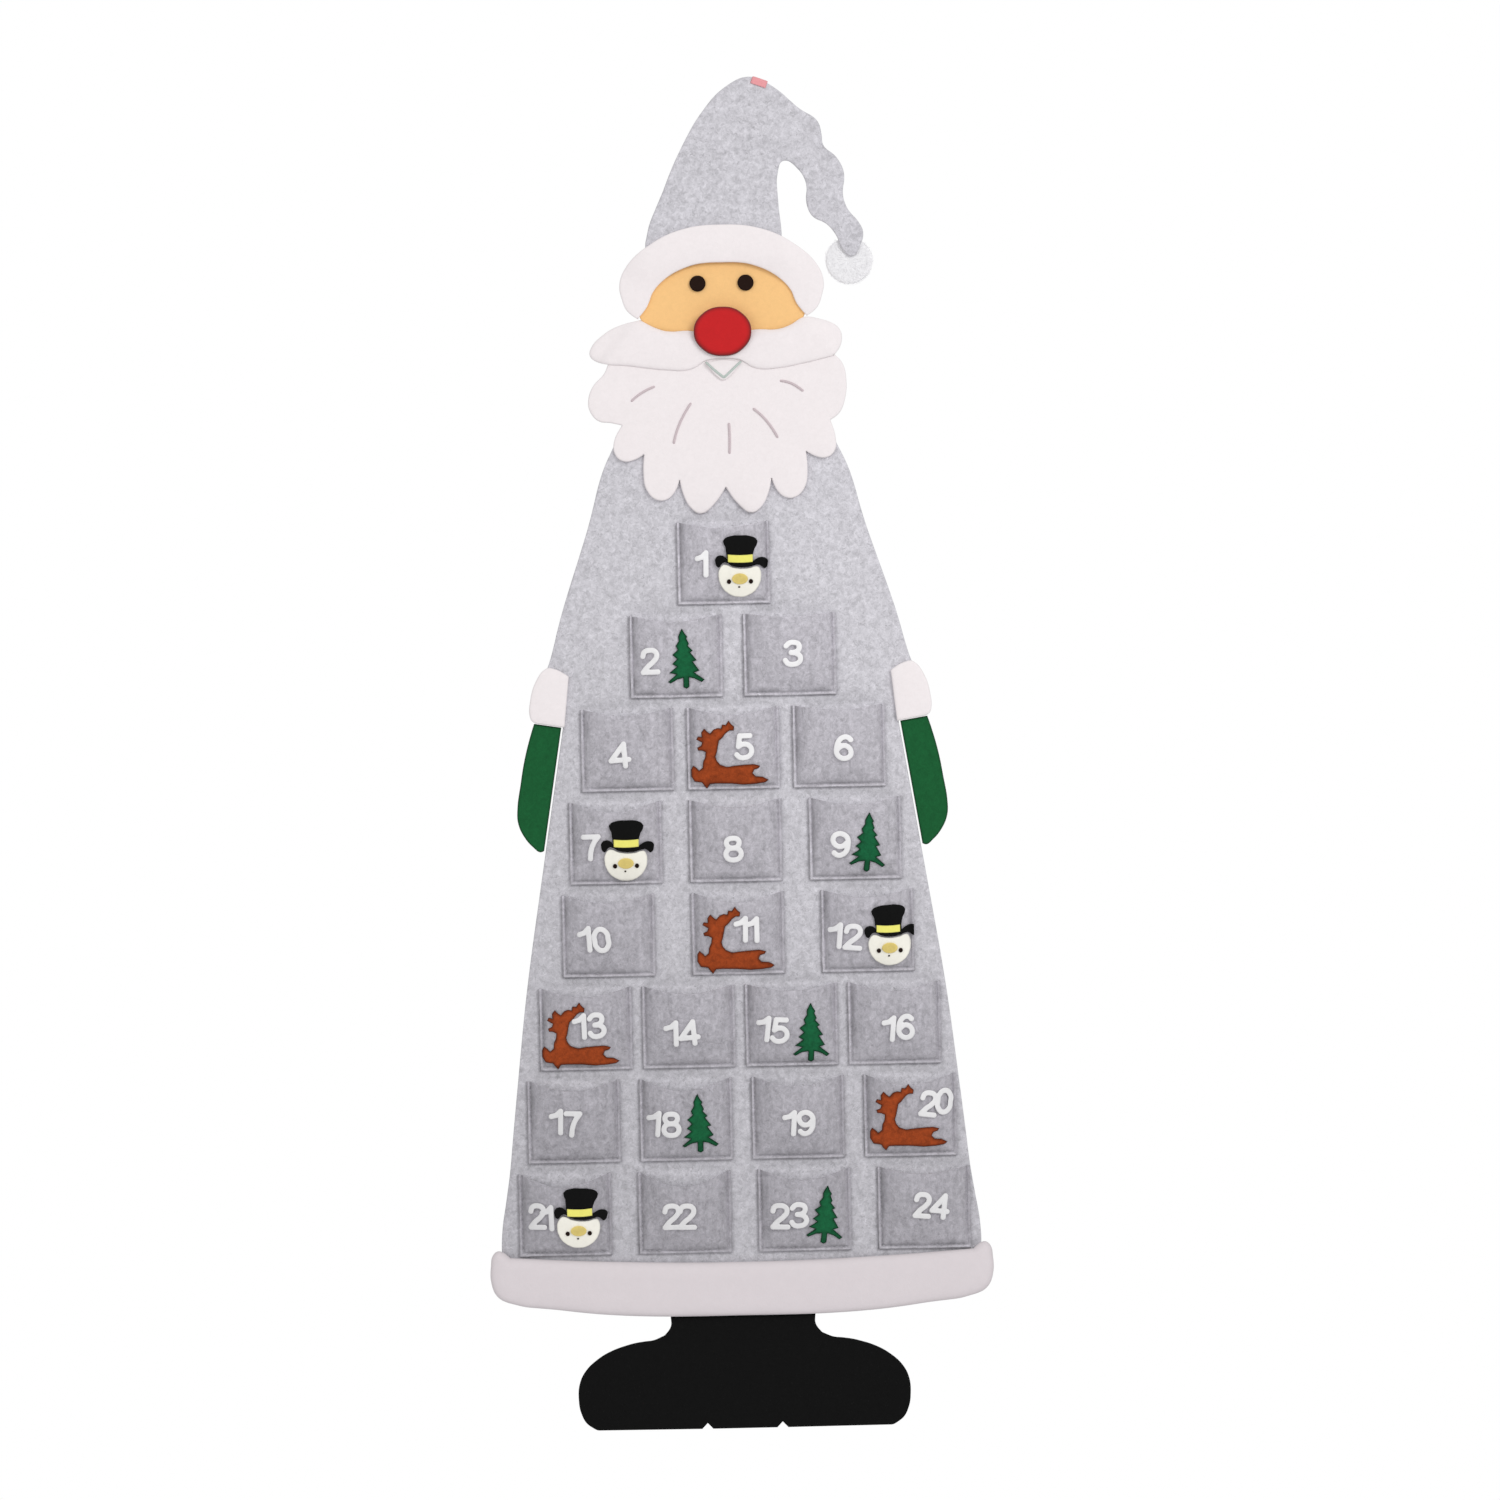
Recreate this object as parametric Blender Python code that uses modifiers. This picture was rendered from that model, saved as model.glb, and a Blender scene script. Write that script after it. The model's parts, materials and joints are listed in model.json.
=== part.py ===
"""Hanging felt advent calendar in the shape of a figure in a long gown.

Units are metres, +Z is up and the front faces -Y.  The origin is the point
where a nail carries the ribbon loop behind the tip of the hat.  The felt
pieces are stacked in layers from the wall forward, and every layer stands a
small gap in front of the one that carries it.
"""

from math import atan2, cos, hypot, pi, sin

import bmesh
import bpy

# Felt and ribbon
felt = 0.003
trim_felt = 0.002
pocket_felt = 0.0015
applique_felt = 0.0012
ribbon = 0.001
gap = 0.0003

# Head
head_width = 0.160
nose_width = 0.045
nose_height = 0.0385
nose_thickness = 0.004
eye_diameter = 0.0125
pompom_diameter = 0.0360
neck_gap = 0.003

# Hanging loop
loop_width = 0.016
loop_strand = 0.0035
loop_eye_height = 0.015
loop_foot = 0.008
loop_drop = 0.0045

# Pockets
pocket_width = 0.0725
pocket_height = 0.0644
pocket_depth = 0.012
pocket_sag = 0.0055
row_gap = 0.0078
chest_gap = 0.0064

# Sleeves, cuffs and mittens
cuff_width = 0.0296
cuff_height = 0.0437
mitten_width = 0.0254
mitten_length = 0.0987
mitten_gap = 0.0013

# Hem band and boots
hem_overhang = 0.0087
hem_height = 0.0417
hem_thickness = 0.007
hem_gap = 0.0005
boots_width = 0.2590
boots_height = 0.0883
leg_width = 0.1130
sole_notch_width = 0.0086
sole_notch_height = 0.0045

# Motifs on the pockets
tree_height = 0.0470
deer_width = 0.0608
snowman_width = 0.0413
snowman_thickness = 0.0022

# Outlines of the head, in shares of the head's width, from the point between
# the eyes and the nose.  S is a smooth point and C a corner.
brim_shares = [
    (0, 0.371, "S"), (0.195, 0.349, "S"), (0.351, 0.276, "S"),
    (0.463, 0.176, "S"), (0.498, 0.088, "S"), (0.488, 0.020, "S"),
    (0.463, -0.039, "S"), (0.412, -0.080, "C"), (0.365, -0.020, "S"),
    (0.327, 0.061, "S"), (0.185, 0.161, "S"), (0, 0.187, "S"),
]
face_shares = [
    (0, 0.302, "S"), (0.244, 0.273, "S"), (0.400, 0.146, "S"),
    (0.432, 0.034, "S"), (0.412, -0.044, "S"), (0.392, -0.092, "S"),
    (0.345, -0.175, "S"), (0.230, -0.239, "S"), (0, -0.254, "S"),
]
hat_shares = [
    (-0.361, 0.195, "C"), (-0.366, 0.296, "S"), (-0.278, 0.537, "S"),
    (-0.185, 0.746, "S"), (-0.068, 0.937, "S"), (0.039, 1.044, "S"),
    (0.155, 1.090, "S"), (0.256, 1.049, "S"), (0.400, 0.928, "S"),
    (0.483, 0.868, "S"), (0.502, 0.805, "S"), (0.510, 0.750, "S"),
    (0.571, 0.691, "S"), (0.607, 0.615, "S"), (0.601, 0.502, "S"),
    (0.624, 0.434, "S"), (0.673, 0.373, "S"), (0.695, 0.322, "S"),
    (0.680, 0.259, "S"), (0.638, 0.205, "S"), (0.594, 0.240, "S"),
    (0.561, 0.312, "S"), (0.517, 0.365, "S"), (0.449, 0.405, "S"),
    (0.421, 0.473, "S"), (0.422, 0.561, "S"), (0.380, 0.639, "S"),
    (0.312, 0.676, "S"), (0.288, 0.634, "S"), (0.284, 0.488, "S"),
    (0.298, 0.322, "S"), (0.296, 0.215, "C"), (0, 0.234, "S"),
]
beard_shares = [
    (0, -0.215, "S"), (0.200, -0.190, "S"), (0.330, -0.165, "S"),
    (0.420, -0.150, "S"), (0.500, -0.215, "S"), (0.546, -0.273, "C"),
    (0.580, -0.312, "S"), (0.598, -0.390, "S"), (0.590, -0.488, "S"),
    (0.561, -0.556, "S"), (0.517, -0.590, "C"), (0.541, -0.680, "S"),
    (0.536, -0.737, "S"), (0.500, -0.770, "S"), (0.449, -0.768, "S"),
    (0.395, -0.740, "C"), (0.400, -0.839, "S"), (0.385, -0.915, "S"),
    (0.335, -0.963, "S"), (0.285, -0.960, "S"), (0.246, -0.922, "S"),
    (0.224, -0.868, "C"), (0.208, -0.937, "S"), (0.172, -1.005, "S"),
    (0.124, -1.034, "S"), (0.066, -0.998, "S"), (0, -0.908, "C"),
    (-0.066, -0.998, "S"), (-0.124, -1.034, "S"), (-0.172, -1.005, "S"),
    (-0.208, -0.937, "S"), (-0.224, -0.868, "C"), (-0.246, -0.922, "S"),
    (-0.285, -0.960, "S"), (-0.335, -0.963, "S"), (-0.385, -0.915, "S"),
    (-0.400, -0.839, "S"), (-0.395, -0.740, "C"), (-0.449, -0.768, "S"),
    (-0.500, -0.770, "S"), (-0.536, -0.737, "S"), (-0.541, -0.680, "S"),
    (-0.500, -0.596, "C"), (-0.556, -0.583, "S"), (-0.613, -0.573, "S"),
    (-0.654, -0.525, "S"), (-0.662, -0.479, "S"), (-0.638, -0.405, "S"),
    (-0.580, -0.340, "S"), (-0.562, -0.299, "C"), (-0.500, -0.215, "S"),
    (-0.420, -0.150, "S"), (-0.330, -0.165, "S"), (-0.200, -0.190, "S"),
]
moustache_shares = [
    (0, -0.190, "S"), (0.146, -0.142, "S"), (0.283, -0.139, "S"),
    (0.400, -0.084, "C"), (0.517, -0.108, "S"), (0.573, -0.151, "S"),
    (0.576, -0.220, "S"), (0.540, -0.277, "C"), (0.460, -0.296, "S"),
    (0.385, -0.312, "S"), (0.283, -0.330, "S"), (0.160, -0.330, "S"),
    (0.093, -0.294, "C"), (0, -0.280, "C"), (-0.093, -0.294, "C"),
    (-0.160, -0.330, "S"), (-0.283, -0.330, "S"), (-0.385, -0.318, "S"),
    (-0.470, -0.306, "S"), (-0.556, -0.300, "C"), (-0.615, -0.284, "S"),
    (-0.649, -0.254, "S"), (-0.644, -0.218, "S"), (-0.585, -0.154, "S"),
    (-0.505, -0.110, "S"), (-0.400, -0.084, "C"), (-0.283, -0.139, "S"),
    (-0.146, -0.142, "S"),
]
lip_shares = [
    (0, -0.286, "C"), (0.086, -0.300, "C"), (0.022, -0.376, "S"),
    (0, -0.386, "S"),
]
nose_drop_share = 0.151
eye_place_shares = (0.117, 0.088)
pompom_place_shares = (0.624, 0.187)
loop_place_share = 0.150

# Gown: the width of its edge beside the beard in shares of a pocket's width,
# with the height above the first row in shares of the step between rows.
shoulder_shares = [
    (0.925, 1.420, "S"), (1.082, 1.103, "S"), (1.190, 0.854, "S"),
    (1.319, 0.573, "S"), (1.482, 0, "S"), (1.806, -1.000, "S"),
]
# Rows from the chest down: pockets in the row, the step between their
# middles, the gown's half width at the row's mouths and how far the row's
# middle lies to the right of the gown's, all three in shares of a pocket's
# width.
row_shares = [
    (1, 0, 1.482, -0.043), (2, 1.221, 1.806, 0.038),
    (3, 1.138, 1.776, 0.021), (3, 1.288, 1.936, 0.025),
    (3, 1.393, 2.095, 0.032), (4, 1.106, 2.249, 0.033),
    (4, 1.205, 2.368, 0.033), (4, 1.286, 2.477, 0.041),
]
gown_hem_share = 2.577
hinge_height_share = 0.095
seam_shares = (0.07, 0.08)
mouth_power_share = 0.8
drop_power_share = 0.55

# Cuff and sleeve in shares of the cuff's width and height, mitten in shares
# of its own, from the hinge's inner end.
sleeve_shares = [(0.542, 1.143, "S"), (0.660, 0.714, "S"), (0.640, 0, "C")]
cuff_shares = [
    (-0.090, 0, "C"), (0.640, 0, "C"), (0.780, 0.030, "S"),
    (0.860, 0.110, "S"), (0.905, 0.352, "S"), (0.824, 0.752, "S"),
    (0.620, 0.990, "S"), (0.500, 1.020, "S"), (-0.016, 0.914, "C"),
]
mitten_shares = [
    (0, 0, "C"), (0.846, 0, "C"), (0.905, -0.097, "S"), (0.985, -0.300, "S"),
    (1.000, -0.500, "S"), (0.991, -0.690, "S"), (0.905, -0.800, "S"),
    (0.640, -0.905, "S"), (0.330, -0.972, "S"), (0.110, -1.000, "S"),
    (0, -0.985, "C"),
]

# Hem band in shares of its half width and height, below the middle of its
# top edge.
hem_shares = [
    (0, 0, "S"), (0.500, 0.050, "S"), (0.922, 0.160, "C"),
    (0.948, 0.260, "S"), (0.972, 0.290, "S"), (0.993, 0.200, "S"),
    (1.000, 0.030, "S"), (1.000, -0.300, "S"), (0.976, -0.560, "S"),
    (0.925, -0.690, "S"), (0.750, -0.821, "S"), (0.480, -0.959, "S"),
    (0, -1.000, "S"),
]
gown_foot_shares = [(0.970, -0.464, "C"), (0.510, -0.900, "S")]

# Boots in shares of half their width and their height, below the leg's top.
boot_shares = [
    (0.480, -0.170, "S"), (0.669, -0.234, "S"), (0.801, -0.298, "S"),
    (0.886, -0.372, "S"), (0.952, -0.463, "S"), (0.991, -0.573, "S"),
    (1.000, -0.729, "S"), (0.985, -0.849, "S"), (0.949, -0.940, "S"),
    (0.880, -0.996, "C"),
]
leg_foot_share = 0.087
notch_place_share = 0.226

# Motifs, from the middle of each, in shares of its height or width.
tree_shares = [
    (-0.053, 0.495), (-0.012, 0.417), (0.033, 0.358), (0.017, 0.325),
    (0.060, 0.242), (0.040, 0.208), (0.122, 0.125), (0.077, 0.100),
    (0.183, -0.033), (0.117, -0.053), (0.222, -0.200), (0.138, -0.233),
    (0.305, -0.350), (0.258, -0.392), (0.133, -0.330), (0.048, -0.313),
    (0.052, -0.467), (0.005, -0.497), (-0.048, -0.475), (-0.048, -0.322),
    (-0.142, -0.342), (-0.258, -0.408), (-0.303, -0.383), (-0.158, -0.258),
    (-0.278, -0.238), (-0.150, -0.133), (-0.228, -0.088), (-0.143, -0.008),
    (-0.220, 0.062), (-0.130, 0.142), (-0.158, 0.208), (-0.108, 0.292),
    (-0.117, 0.358), (-0.082, 0.442),
]
deer_shares = [
    (-0.013, 0.436), (0.019, 0.391), (0.058, 0.359), (0.051, 0.308),
    (0, 0.308), (-0.045, 0.276), (-0.096, 0.212), (-0.135, 0.179),
    (-0.147, 0.122), (-0.160, 0.045), (-0.179, -0.026), (-0.160, -0.083),
    (-0.122, -0.128), (-0.038, -0.154), (0.064, -0.141), (0.192, -0.128),
    (0.308, -0.122), (0.391, -0.141), (0.372, -0.173), (0.314, -0.192),
    (0.295, -0.237), (0.333, -0.276), (0.423, -0.282), (0.500, -0.321),
    (0.455, -0.353), (0.346, -0.372), (0.192, -0.385), (0.013, -0.372),
    (-0.167, -0.372), (-0.250, -0.378), (-0.288, -0.436), (-0.327, -0.397),
    (-0.353, -0.359), (-0.449, -0.346), (-0.494, -0.276), (-0.494, -0.186),
    (-0.468, -0.141), (-0.423, -0.173), (-0.391, -0.205), (-0.346, -0.167),
    (-0.340, -0.096), (-0.314, -0.032), (-0.308, 0.032), (-0.353, 0.051),
    (-0.404, 0.051), (-0.417, 0.090), (-0.365, 0.115), (-0.353, 0.154),
    (-0.429, 0.192), (-0.410, 0.231), (-0.359, 0.224), (-0.365, 0.282),
    (-0.327, 0.333), (-0.288, 0.295), (-0.250, 0.269), (-0.205, 0.321),
    (-0.154, 0.340), (-0.109, 0.333), (-0.096, 0.385), (-0.051, 0.378),
]
snow_hat_shares = [
    (0.012, 0.745, "S"), (0.254, 0.722, "S"), (0.347, 0.640, "S"),
    (0.288, 0.500, "S"), (0.249, 0.354, "S"), (0.249, 0.262, "C"),
    (0.329, 0.316, "S"), (0.425, 0.344, "S"), (0.522, 0.306, "S"),
    (0.531, 0.233, "S"), (0.474, 0.127, "S"), (0.416, 0.170, "S"),
    (0.352, 0.198, "S"), (0.208, 0.161, "S"), (0.013, 0.146, "S"),
    (-0.157, 0.180, "S"), (-0.278, 0.248, "S"), (-0.350, 0.198, "S"),
    (-0.399, 0.146, "S"), (-0.457, 0.233, "S"), (-0.448, 0.329, "S"),
    (-0.365, 0.378, "S"), (-0.263, 0.338, "S"), (-0.225, 0.282, "C"),
    (-0.245, 0.378, "S"), (-0.264, 0.530, "S"), (-0.303, 0.650, "S"),
    (-0.182, 0.730, "S"),
]
snow_face_shares = [
    (-0.300, 0.205, "S"), (-0.157, 0.155, "S"), (0.013, 0.122, "S"),
    (0.208, 0.137, "S"), (0.340, 0.168, "S"), (0.385, 0.110, "S"),
    (0.405, 0, "S"), (0.351, -0.203, "S"), (0.203, -0.351, "S"),
    (0, -0.405, "S"), (-0.203, -0.351, "S"), (-0.351, -0.203, "S"),
    (-0.405, 0, "S"), (-0.385, 0.110, "S"),
]
# Pocket number, motif, the motif's place from the pocket's middle in shares
# of the pocket's width and height, and how far it leans to the right in
# shares of its height.
motif_shares = [
    (1, "snowman", 0.175, -0.160, 0), (2, "tree", 0.105, -0.030, 0),
    (5, "deer", -0.039, -0.080, 0.021), (7, "snowman", 0.109, -0.202, 0),
    (9, "tree", 0.149, -0.050, 0.129), (11, "deer", -0.026, -0.080, 0.021),
    (12, "snowman", 0.232, -0.166, -0.060),
    (13, "deer", -0.056, -0.076, 0.021), (15, "tree", 0.221, -0.089, 0.071),
    (18, "tree", 0.156, -0.037, 0.021), (20, "deer", -0.018, -0.017, 0.021),
    (21, "snowman", 0.146, -0.138, 0.050), (23, "tree", 0.240, -0.053, 0.154),
]

# Colours and finishes
colours = {
    "grey": (0.570, 0.560, 0.595), "pocket": (0.480, 0.470, 0.510),
    "white": (0.870, 0.840, 0.845), "peach": (0.960, 0.580, 0.230),
    "red": (0.560, 0.015, 0.018), "black": (0.006, 0.006, 0.006),
    "green": (0.010, 0.115, 0.038), "brown": (0.260, 0.055, 0.014),
    "ribbon": (0.860, 0.330, 0.340), "eye": (0.016, 0.009, 0.006),
}
felt_roughness = 0.95

# Places that follow from the sizes
row_step = pocket_height + row_gap
back_y = felt - ribbon / 2
panel_front_y = back_y - felt
first_y = panel_front_y - gap
second_y = first_y - felt - gap
third_y = second_y - trim_felt - gap
head_x = -loop_place_share * head_width
peak_share = max(z for x, z, kind in hat_shares)
head_z = loop_strand + loop_drop - peak_share * head_width
beard_drop_share = -min(z for x, z, kind in beard_shares)
first_row_z = head_z - beard_drop_share * head_width - chest_gap
outer_pocket_foot_z = (
    first_row_z - (len(row_shares) - 1) * row_step - pocket_height)


def row_z(row):
    """Height of the corners of the mouths in a row."""
    return first_row_z - row * row_step


def edge_x(row):
    """Half width of the gown at a row's mouths."""
    return row_shares[row][2] * pocket_width


def scaled(shares, width, height):
    """Points given in shares, in metres."""
    return [(x * width, z * height, kind) for x, z, kind in shares]


def mirrored(half):
    """Closed outline from its right half, top middle to bottom middle."""
    return half + [(-x, z, kind) for x, z, kind in reversed(half) if x > 0]


def flipped(points):
    """Outline mirrored left to right."""
    return [(-x, z, kind) for x, z, kind in reversed(points)]


def clear_scene():
    for obj in list(bpy.data.objects):
        bpy.data.objects.remove(obj, do_unlink=True)


def new_collection(name):
    group = bpy.data.collections.new(name)
    bpy.context.scene.collection.children.link(group)
    return group


def new_material(name, colour, metallic=0.0):
    made = bpy.data.materials.new(name)
    made.use_nodes = True
    shader = made.node_tree.nodes["Principled BSDF"]
    shader.inputs["Base Color"].default_value = (*colours[colour], 1.0)
    shader.inputs["Roughness"].default_value = felt_roughness
    shader.inputs["Metallic"].default_value = metallic
    made.diffuse_color = (*colours[colour], 1.0)
    return made


def new_empty(name, group, location, parent=None, roll=0.0):
    empty = bpy.data.objects.new(name, None)
    empty.location = location
    empty.rotation_euler = (0.0, roll, 0.0)
    empty.parent = parent
    group.objects.link(empty)
    return empty


def outline_curve(name, points, half_depth, steps=3):
    """Flat filled outline as a curve in its own XY plane."""
    curve = bpy.data.curves.new(name, "CURVE")
    curve.dimensions = "2D"
    curve.fill_mode = "BOTH"
    curve.extrude = half_depth
    curve.resolution_u = steps
    spline = curve.splines.new("BEZIER")
    spline.bezier_points.add(len(points) - 1)
    for point, (x, z, kind) in zip(spline.bezier_points, points):
        point.co = (x, z, 0.0)
        handle = "AUTO" if kind == "S" else "VECTOR"
        point.handle_left_type = handle
        point.handle_right_type = handle
    spline.use_cyclic_u = True
    return curve


def standing(obj, group, parent, location, colour):
    """Stand a flat piece up, front to -Y, and give it its material."""
    obj.rotation_euler = (pi / 2, 0.0, 0.0)
    obj.location = location
    obj.parent = parent
    obj.data.materials.append(new_material(obj.name + "_felt", colour))
    group.objects.link(obj)
    return obj


def felt_piece(name, points, group, parent, place, rear_y, thickness, colour):
    """Felt cut to an outline, its back at rear_y."""
    curve = outline_curve(name, points, thickness / 2)
    obj = bpy.data.objects.new(name, curve)
    location = (place[0], rear_y - thickness / 2, place[1])
    return standing(obj, group, parent, location, colour)


def mesh_from_curve(name, curve):
    """Mesh of a filled curve with its caps welded."""
    source = bpy.data.objects.new(name, curve)
    bpy.context.scene.collection.objects.link(source)
    bpy.context.view_layer.update()
    graph = bpy.context.evaluated_depsgraph_get()
    mesh = bpy.data.meshes.new_from_object(source.evaluated_get(graph))
    bpy.data.objects.remove(source, do_unlink=True)
    bpy.data.curves.remove(curve)
    work = bmesh.new()
    work.from_mesh(mesh)
    bmesh.ops.remove_doubles(work, verts=work.verts, dist=gap / 100)
    bmesh.ops.recalc_face_normals(work, faces=work.faces)
    work.to_mesh(mesh)
    work.free()
    return mesh


def padded_piece(name, points, group, parent, place, rear_y, thickness,
                 rounding, colour):
    """Soft padded piece: an outline with round edges."""
    mesh = mesh_from_curve(name, outline_curve(name, points, thickness / 2))
    obj = bpy.data.objects.new(name, mesh)
    location = (place[0], rear_y - thickness / 2, place[1])
    standing(obj, group, parent, location, colour)
    bevel = obj.modifiers.new("Round edges", "BEVEL")
    bevel.width = rounding
    bevel.segments = 2
    bevel.limit_method = "ANGLE"
    bevel.angle_limit = pi / 3
    return obj


def ellipse(width, height, count):
    """Evenly turned points of an ellipse, all smooth."""
    turns = [2 * pi * index / count for index in range(count)]
    return [(width / 2 * sin(turn), height / 2 * cos(turn), "S")
            for turn in turns]


def pocket_mesh(columns=8, rows=5):
    """Pocket shell: flat at its three seams and full at its mouth."""
    side, foot = seam_shares
    work = bmesh.new()
    bmesh.ops.create_grid(work, x_segments=columns, y_segments=rows, size=0.5)
    for vert in work.verts:
        column = round((vert.co.x + 0.5) * columns)
        row = round((vert.co.y + 0.5) * rows)
        inner = min(max((column - 1) / (columns - 2), 0.0), 1.0)
        across = (column == columns) + (
            (side + inner * (1 - 2 * side)) if 0 < column < columns else 0.0)
        rise = max((row - 1) / (rows - 1), 0.0)
        up = foot + rise * (1 - foot) if row else 0.0
        bulge = (pocket_depth * sin(pi * inner) ** mouth_power_share
                 * rise ** drop_power_share)
        sag = pocket_sag * sin(pi * across) * up
        vert.co = ((across - 0.5) * pocket_width, -bulge,
                   up * pocket_height - sag)
    bmesh.ops.triangulate(work, faces=work.faces)
    mesh = bpy.data.meshes.new("pocket")
    work.to_mesh(mesh)
    work.free()
    return mesh


def thicken(obj, thickness):
    shell = obj.modifiers.new("Felt", "SOLIDIFY")
    shell.thickness = thickness
    shell.offset = 1.0
    shell.use_even_offset = True
    return shell


def add_pocket(name, mesh, group, parent, place):
    obj = bpy.data.objects.new(name, mesh.copy())
    obj.location = (place[0], first_y, place[1])
    obj.parent = parent
    obj.data.materials.append(new_material(name + "_felt", "pocket"))
    thicken(obj, pocket_felt)
    group.objects.link(obj)
    return obj


def motif_layer(name, mesh, group, parent, place, thickness):
    """Guide: the layer that a motif fills in front of a pocket."""
    obj = bpy.data.objects.new(name, mesh)
    obj.location = (place[0], first_y, place[1])
    obj.parent = parent
    lift = obj.modifiers.new("Clear of the pocket", "DISPLACE")
    lift.strength = pocket_felt + gap
    lift.mid_level = 0.0
    thicken(obj, thickness)
    obj.hide_render = True
    obj.display_type = "WIRE"
    group.objects.link(obj)
    return obj


def add_motif(name, points, layer, group, parent, place, colour):
    """Felt motif that follows the pocket behind it."""
    mesh = mesh_from_curve(
        name, outline_curve(name, points, pocket_depth * 2, steps=2))
    obj = bpy.data.objects.new(name, mesh)
    location = (place[0], first_y - pocket_depth, place[1])
    standing(obj, group, parent, location, colour)
    cut = obj.modifiers.new("Follow the pocket", "BOOLEAN")
    cut.operation = "INTERSECT"
    cut.object = layer
    return obj


def add_head(group, root):
    place = (head_x, head_z)
    white = "white"
    felt_piece("face", mirrored(scaled(face_shares, head_width, head_width)),
               group, root, place, back_y, felt, "peach")
    felt_piece("hat", scaled(hat_shares, head_width, head_width),
               group, root, place, first_y, felt, "grey")
    felt_piece("beard", scaled(beard_shares, head_width, head_width),
               group, root, place, first_y, felt, white)
    felt_piece("hat_brim",
               mirrored(scaled(brim_shares, head_width, head_width)),
               group, root, place, second_y, trim_felt, white)
    felt_piece("moustache", scaled(moustache_shares, head_width, head_width),
               group, root, place, second_y, trim_felt, white)
    felt_piece("lower_lip",
               mirrored(scaled(lip_shares, head_width, head_width)),
               group, root, place, second_y, trim_felt, white)
    nose_place = (head_x, head_z - nose_drop_share * head_width)
    padded_piece("nose", ellipse(nose_width, nose_height, 8), group, root,
                 nose_place, third_y, nose_thickness, nose_thickness / 3,
                 "red")
    for name, side in (("left_eye", -1), ("right_eye", 1)):
        eye_place = (head_x + side * eye_place_shares[0] * head_width,
                     head_z + eye_place_shares[1] * head_width)
        felt_piece(name, ellipse(eye_diameter, eye_diameter, 6), group, root,
                   eye_place, first_y, trim_felt, "eye")
    pompom_place = (head_x + pompom_place_shares[0] * head_width,
                    head_z + pompom_place_shares[1] * head_width)
    felt_piece("pompom", ellipse(pompom_diameter, pompom_diameter, 8), group,
               root, pompom_place, back_y, felt, white)


def add_loop(group, root):
    """Ribbon loop behind the hat, hinged where it is sewn on."""
    radius = loop_width / 2
    crown = loop_strand - radius
    foot = -loop_eye_height - loop_foot
    turns = [pi * index / 6 for index in range(7)]
    outer = [(radius * cos(turn), crown + radius * sin(turn), "S")
             for turn in turns]
    outer = [(radius, foot, "C"), *outer, (-radius, foot, "C")]
    inner_radius = radius - loop_strand
    inner = [(inner_radius * cos(turn), crown + inner_radius * sin(turn), "S")
             for turn in reversed(turns)]
    inner = [(-inner_radius, -loop_eye_height, "C"), *inner,
             (inner_radius, -loop_eye_height, "C")]
    hinge = new_empty("loop_hinge", group, (0.0, ribbon / 2, foot), root)
    curve = outline_curve("hanging_loop", outer, ribbon / 2, steps=2)
    hole = curve.splines.new("BEZIER")
    hole.bezier_points.add(len(inner) - 1)
    for point, (x, z, kind) in zip(hole.bezier_points, inner):
        point.co = (x, z, 0.0)
        handle = "AUTO" if kind == "S" else "VECTOR"
        point.handle_left_type = handle
        point.handle_right_type = handle
    hole.use_cyclic_u = True
    obj = bpy.data.objects.new("hanging_loop", curve)
    standing(obj, group, hinge, (0.0, -ribbon / 2, -foot), "ribbon")


def sleeve_frame():
    """Inner end of the right mitten's hinge and the hinge's tilt."""
    top = (edge_x(2), row_z(2))
    bottom = (edge_x(4), row_z(4))
    run = (bottom[0] - top[0], bottom[1] - top[1])
    length = hypot(*run)
    tilt = atan2(run[0], -run[1])
    out = (cos(tilt), sin(tilt))
    share = hinge_height_share
    hinge = (top[0] + run[0] * share + out[0] * mitten_gap,
             top[1] + run[1] * share + out[1] * mitten_gap)
    return hinge, tilt, length


def from_hinge(x, z, hinge, tilt):
    """Point given along and above the hinge, in the gown's plane."""
    return (hinge[0] + x * cos(tilt) - z * sin(tilt),
            hinge[1] + x * sin(tilt) + z * cos(tilt))


def hem_top_z():
    """Height of the middle of the hem band's top edge."""
    side_share = hem_shares[2][1]
    return outer_pocket_foot_z - hem_gap - side_share * hem_height


def add_gown(group, root):
    hinge, tilt, length = sleeve_frame()
    neck_z = head_z + face_shares[-1][1] * head_width - neck_gap
    half = [(0.0, neck_z, "C"), (face_shares[-3][0] * head_width, neck_z, "C")]
    half += [(x * pocket_width, first_row_z + z * row_step, kind)
             for x, z, kind in shoulder_shares]
    for x, z, kind in sleeve_shares:
        point = from_hinge(x * cuff_width, z * cuff_height + gap, hinge, tilt)
        half.append((*point, kind))
    half.append((*from_hinge(-mitten_gap, gap, hinge, tilt), "C"))
    half.append((edge_x(4), row_z(4), "C"))
    half += [(edge_x(row), row_z(row), "S") for row in (5, 6, 7)]
    hem_half = gown_hem_share * pocket_width
    band_z = hem_top_z()
    half.append((hem_half, outer_pocket_foot_z, "S"))
    half += [(x * hem_half, band_z + z * hem_height, kind)
             for x, z, kind in gown_foot_shares]
    half.append((leg_width / 2, band_z - hem_height, "C"))
    half.append((0.0, band_z - hem_height, "C"))
    felt_piece("gown_panel", mirrored(half), group, root, (head_x, 0.0),
               back_y, felt, "grey")


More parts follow.
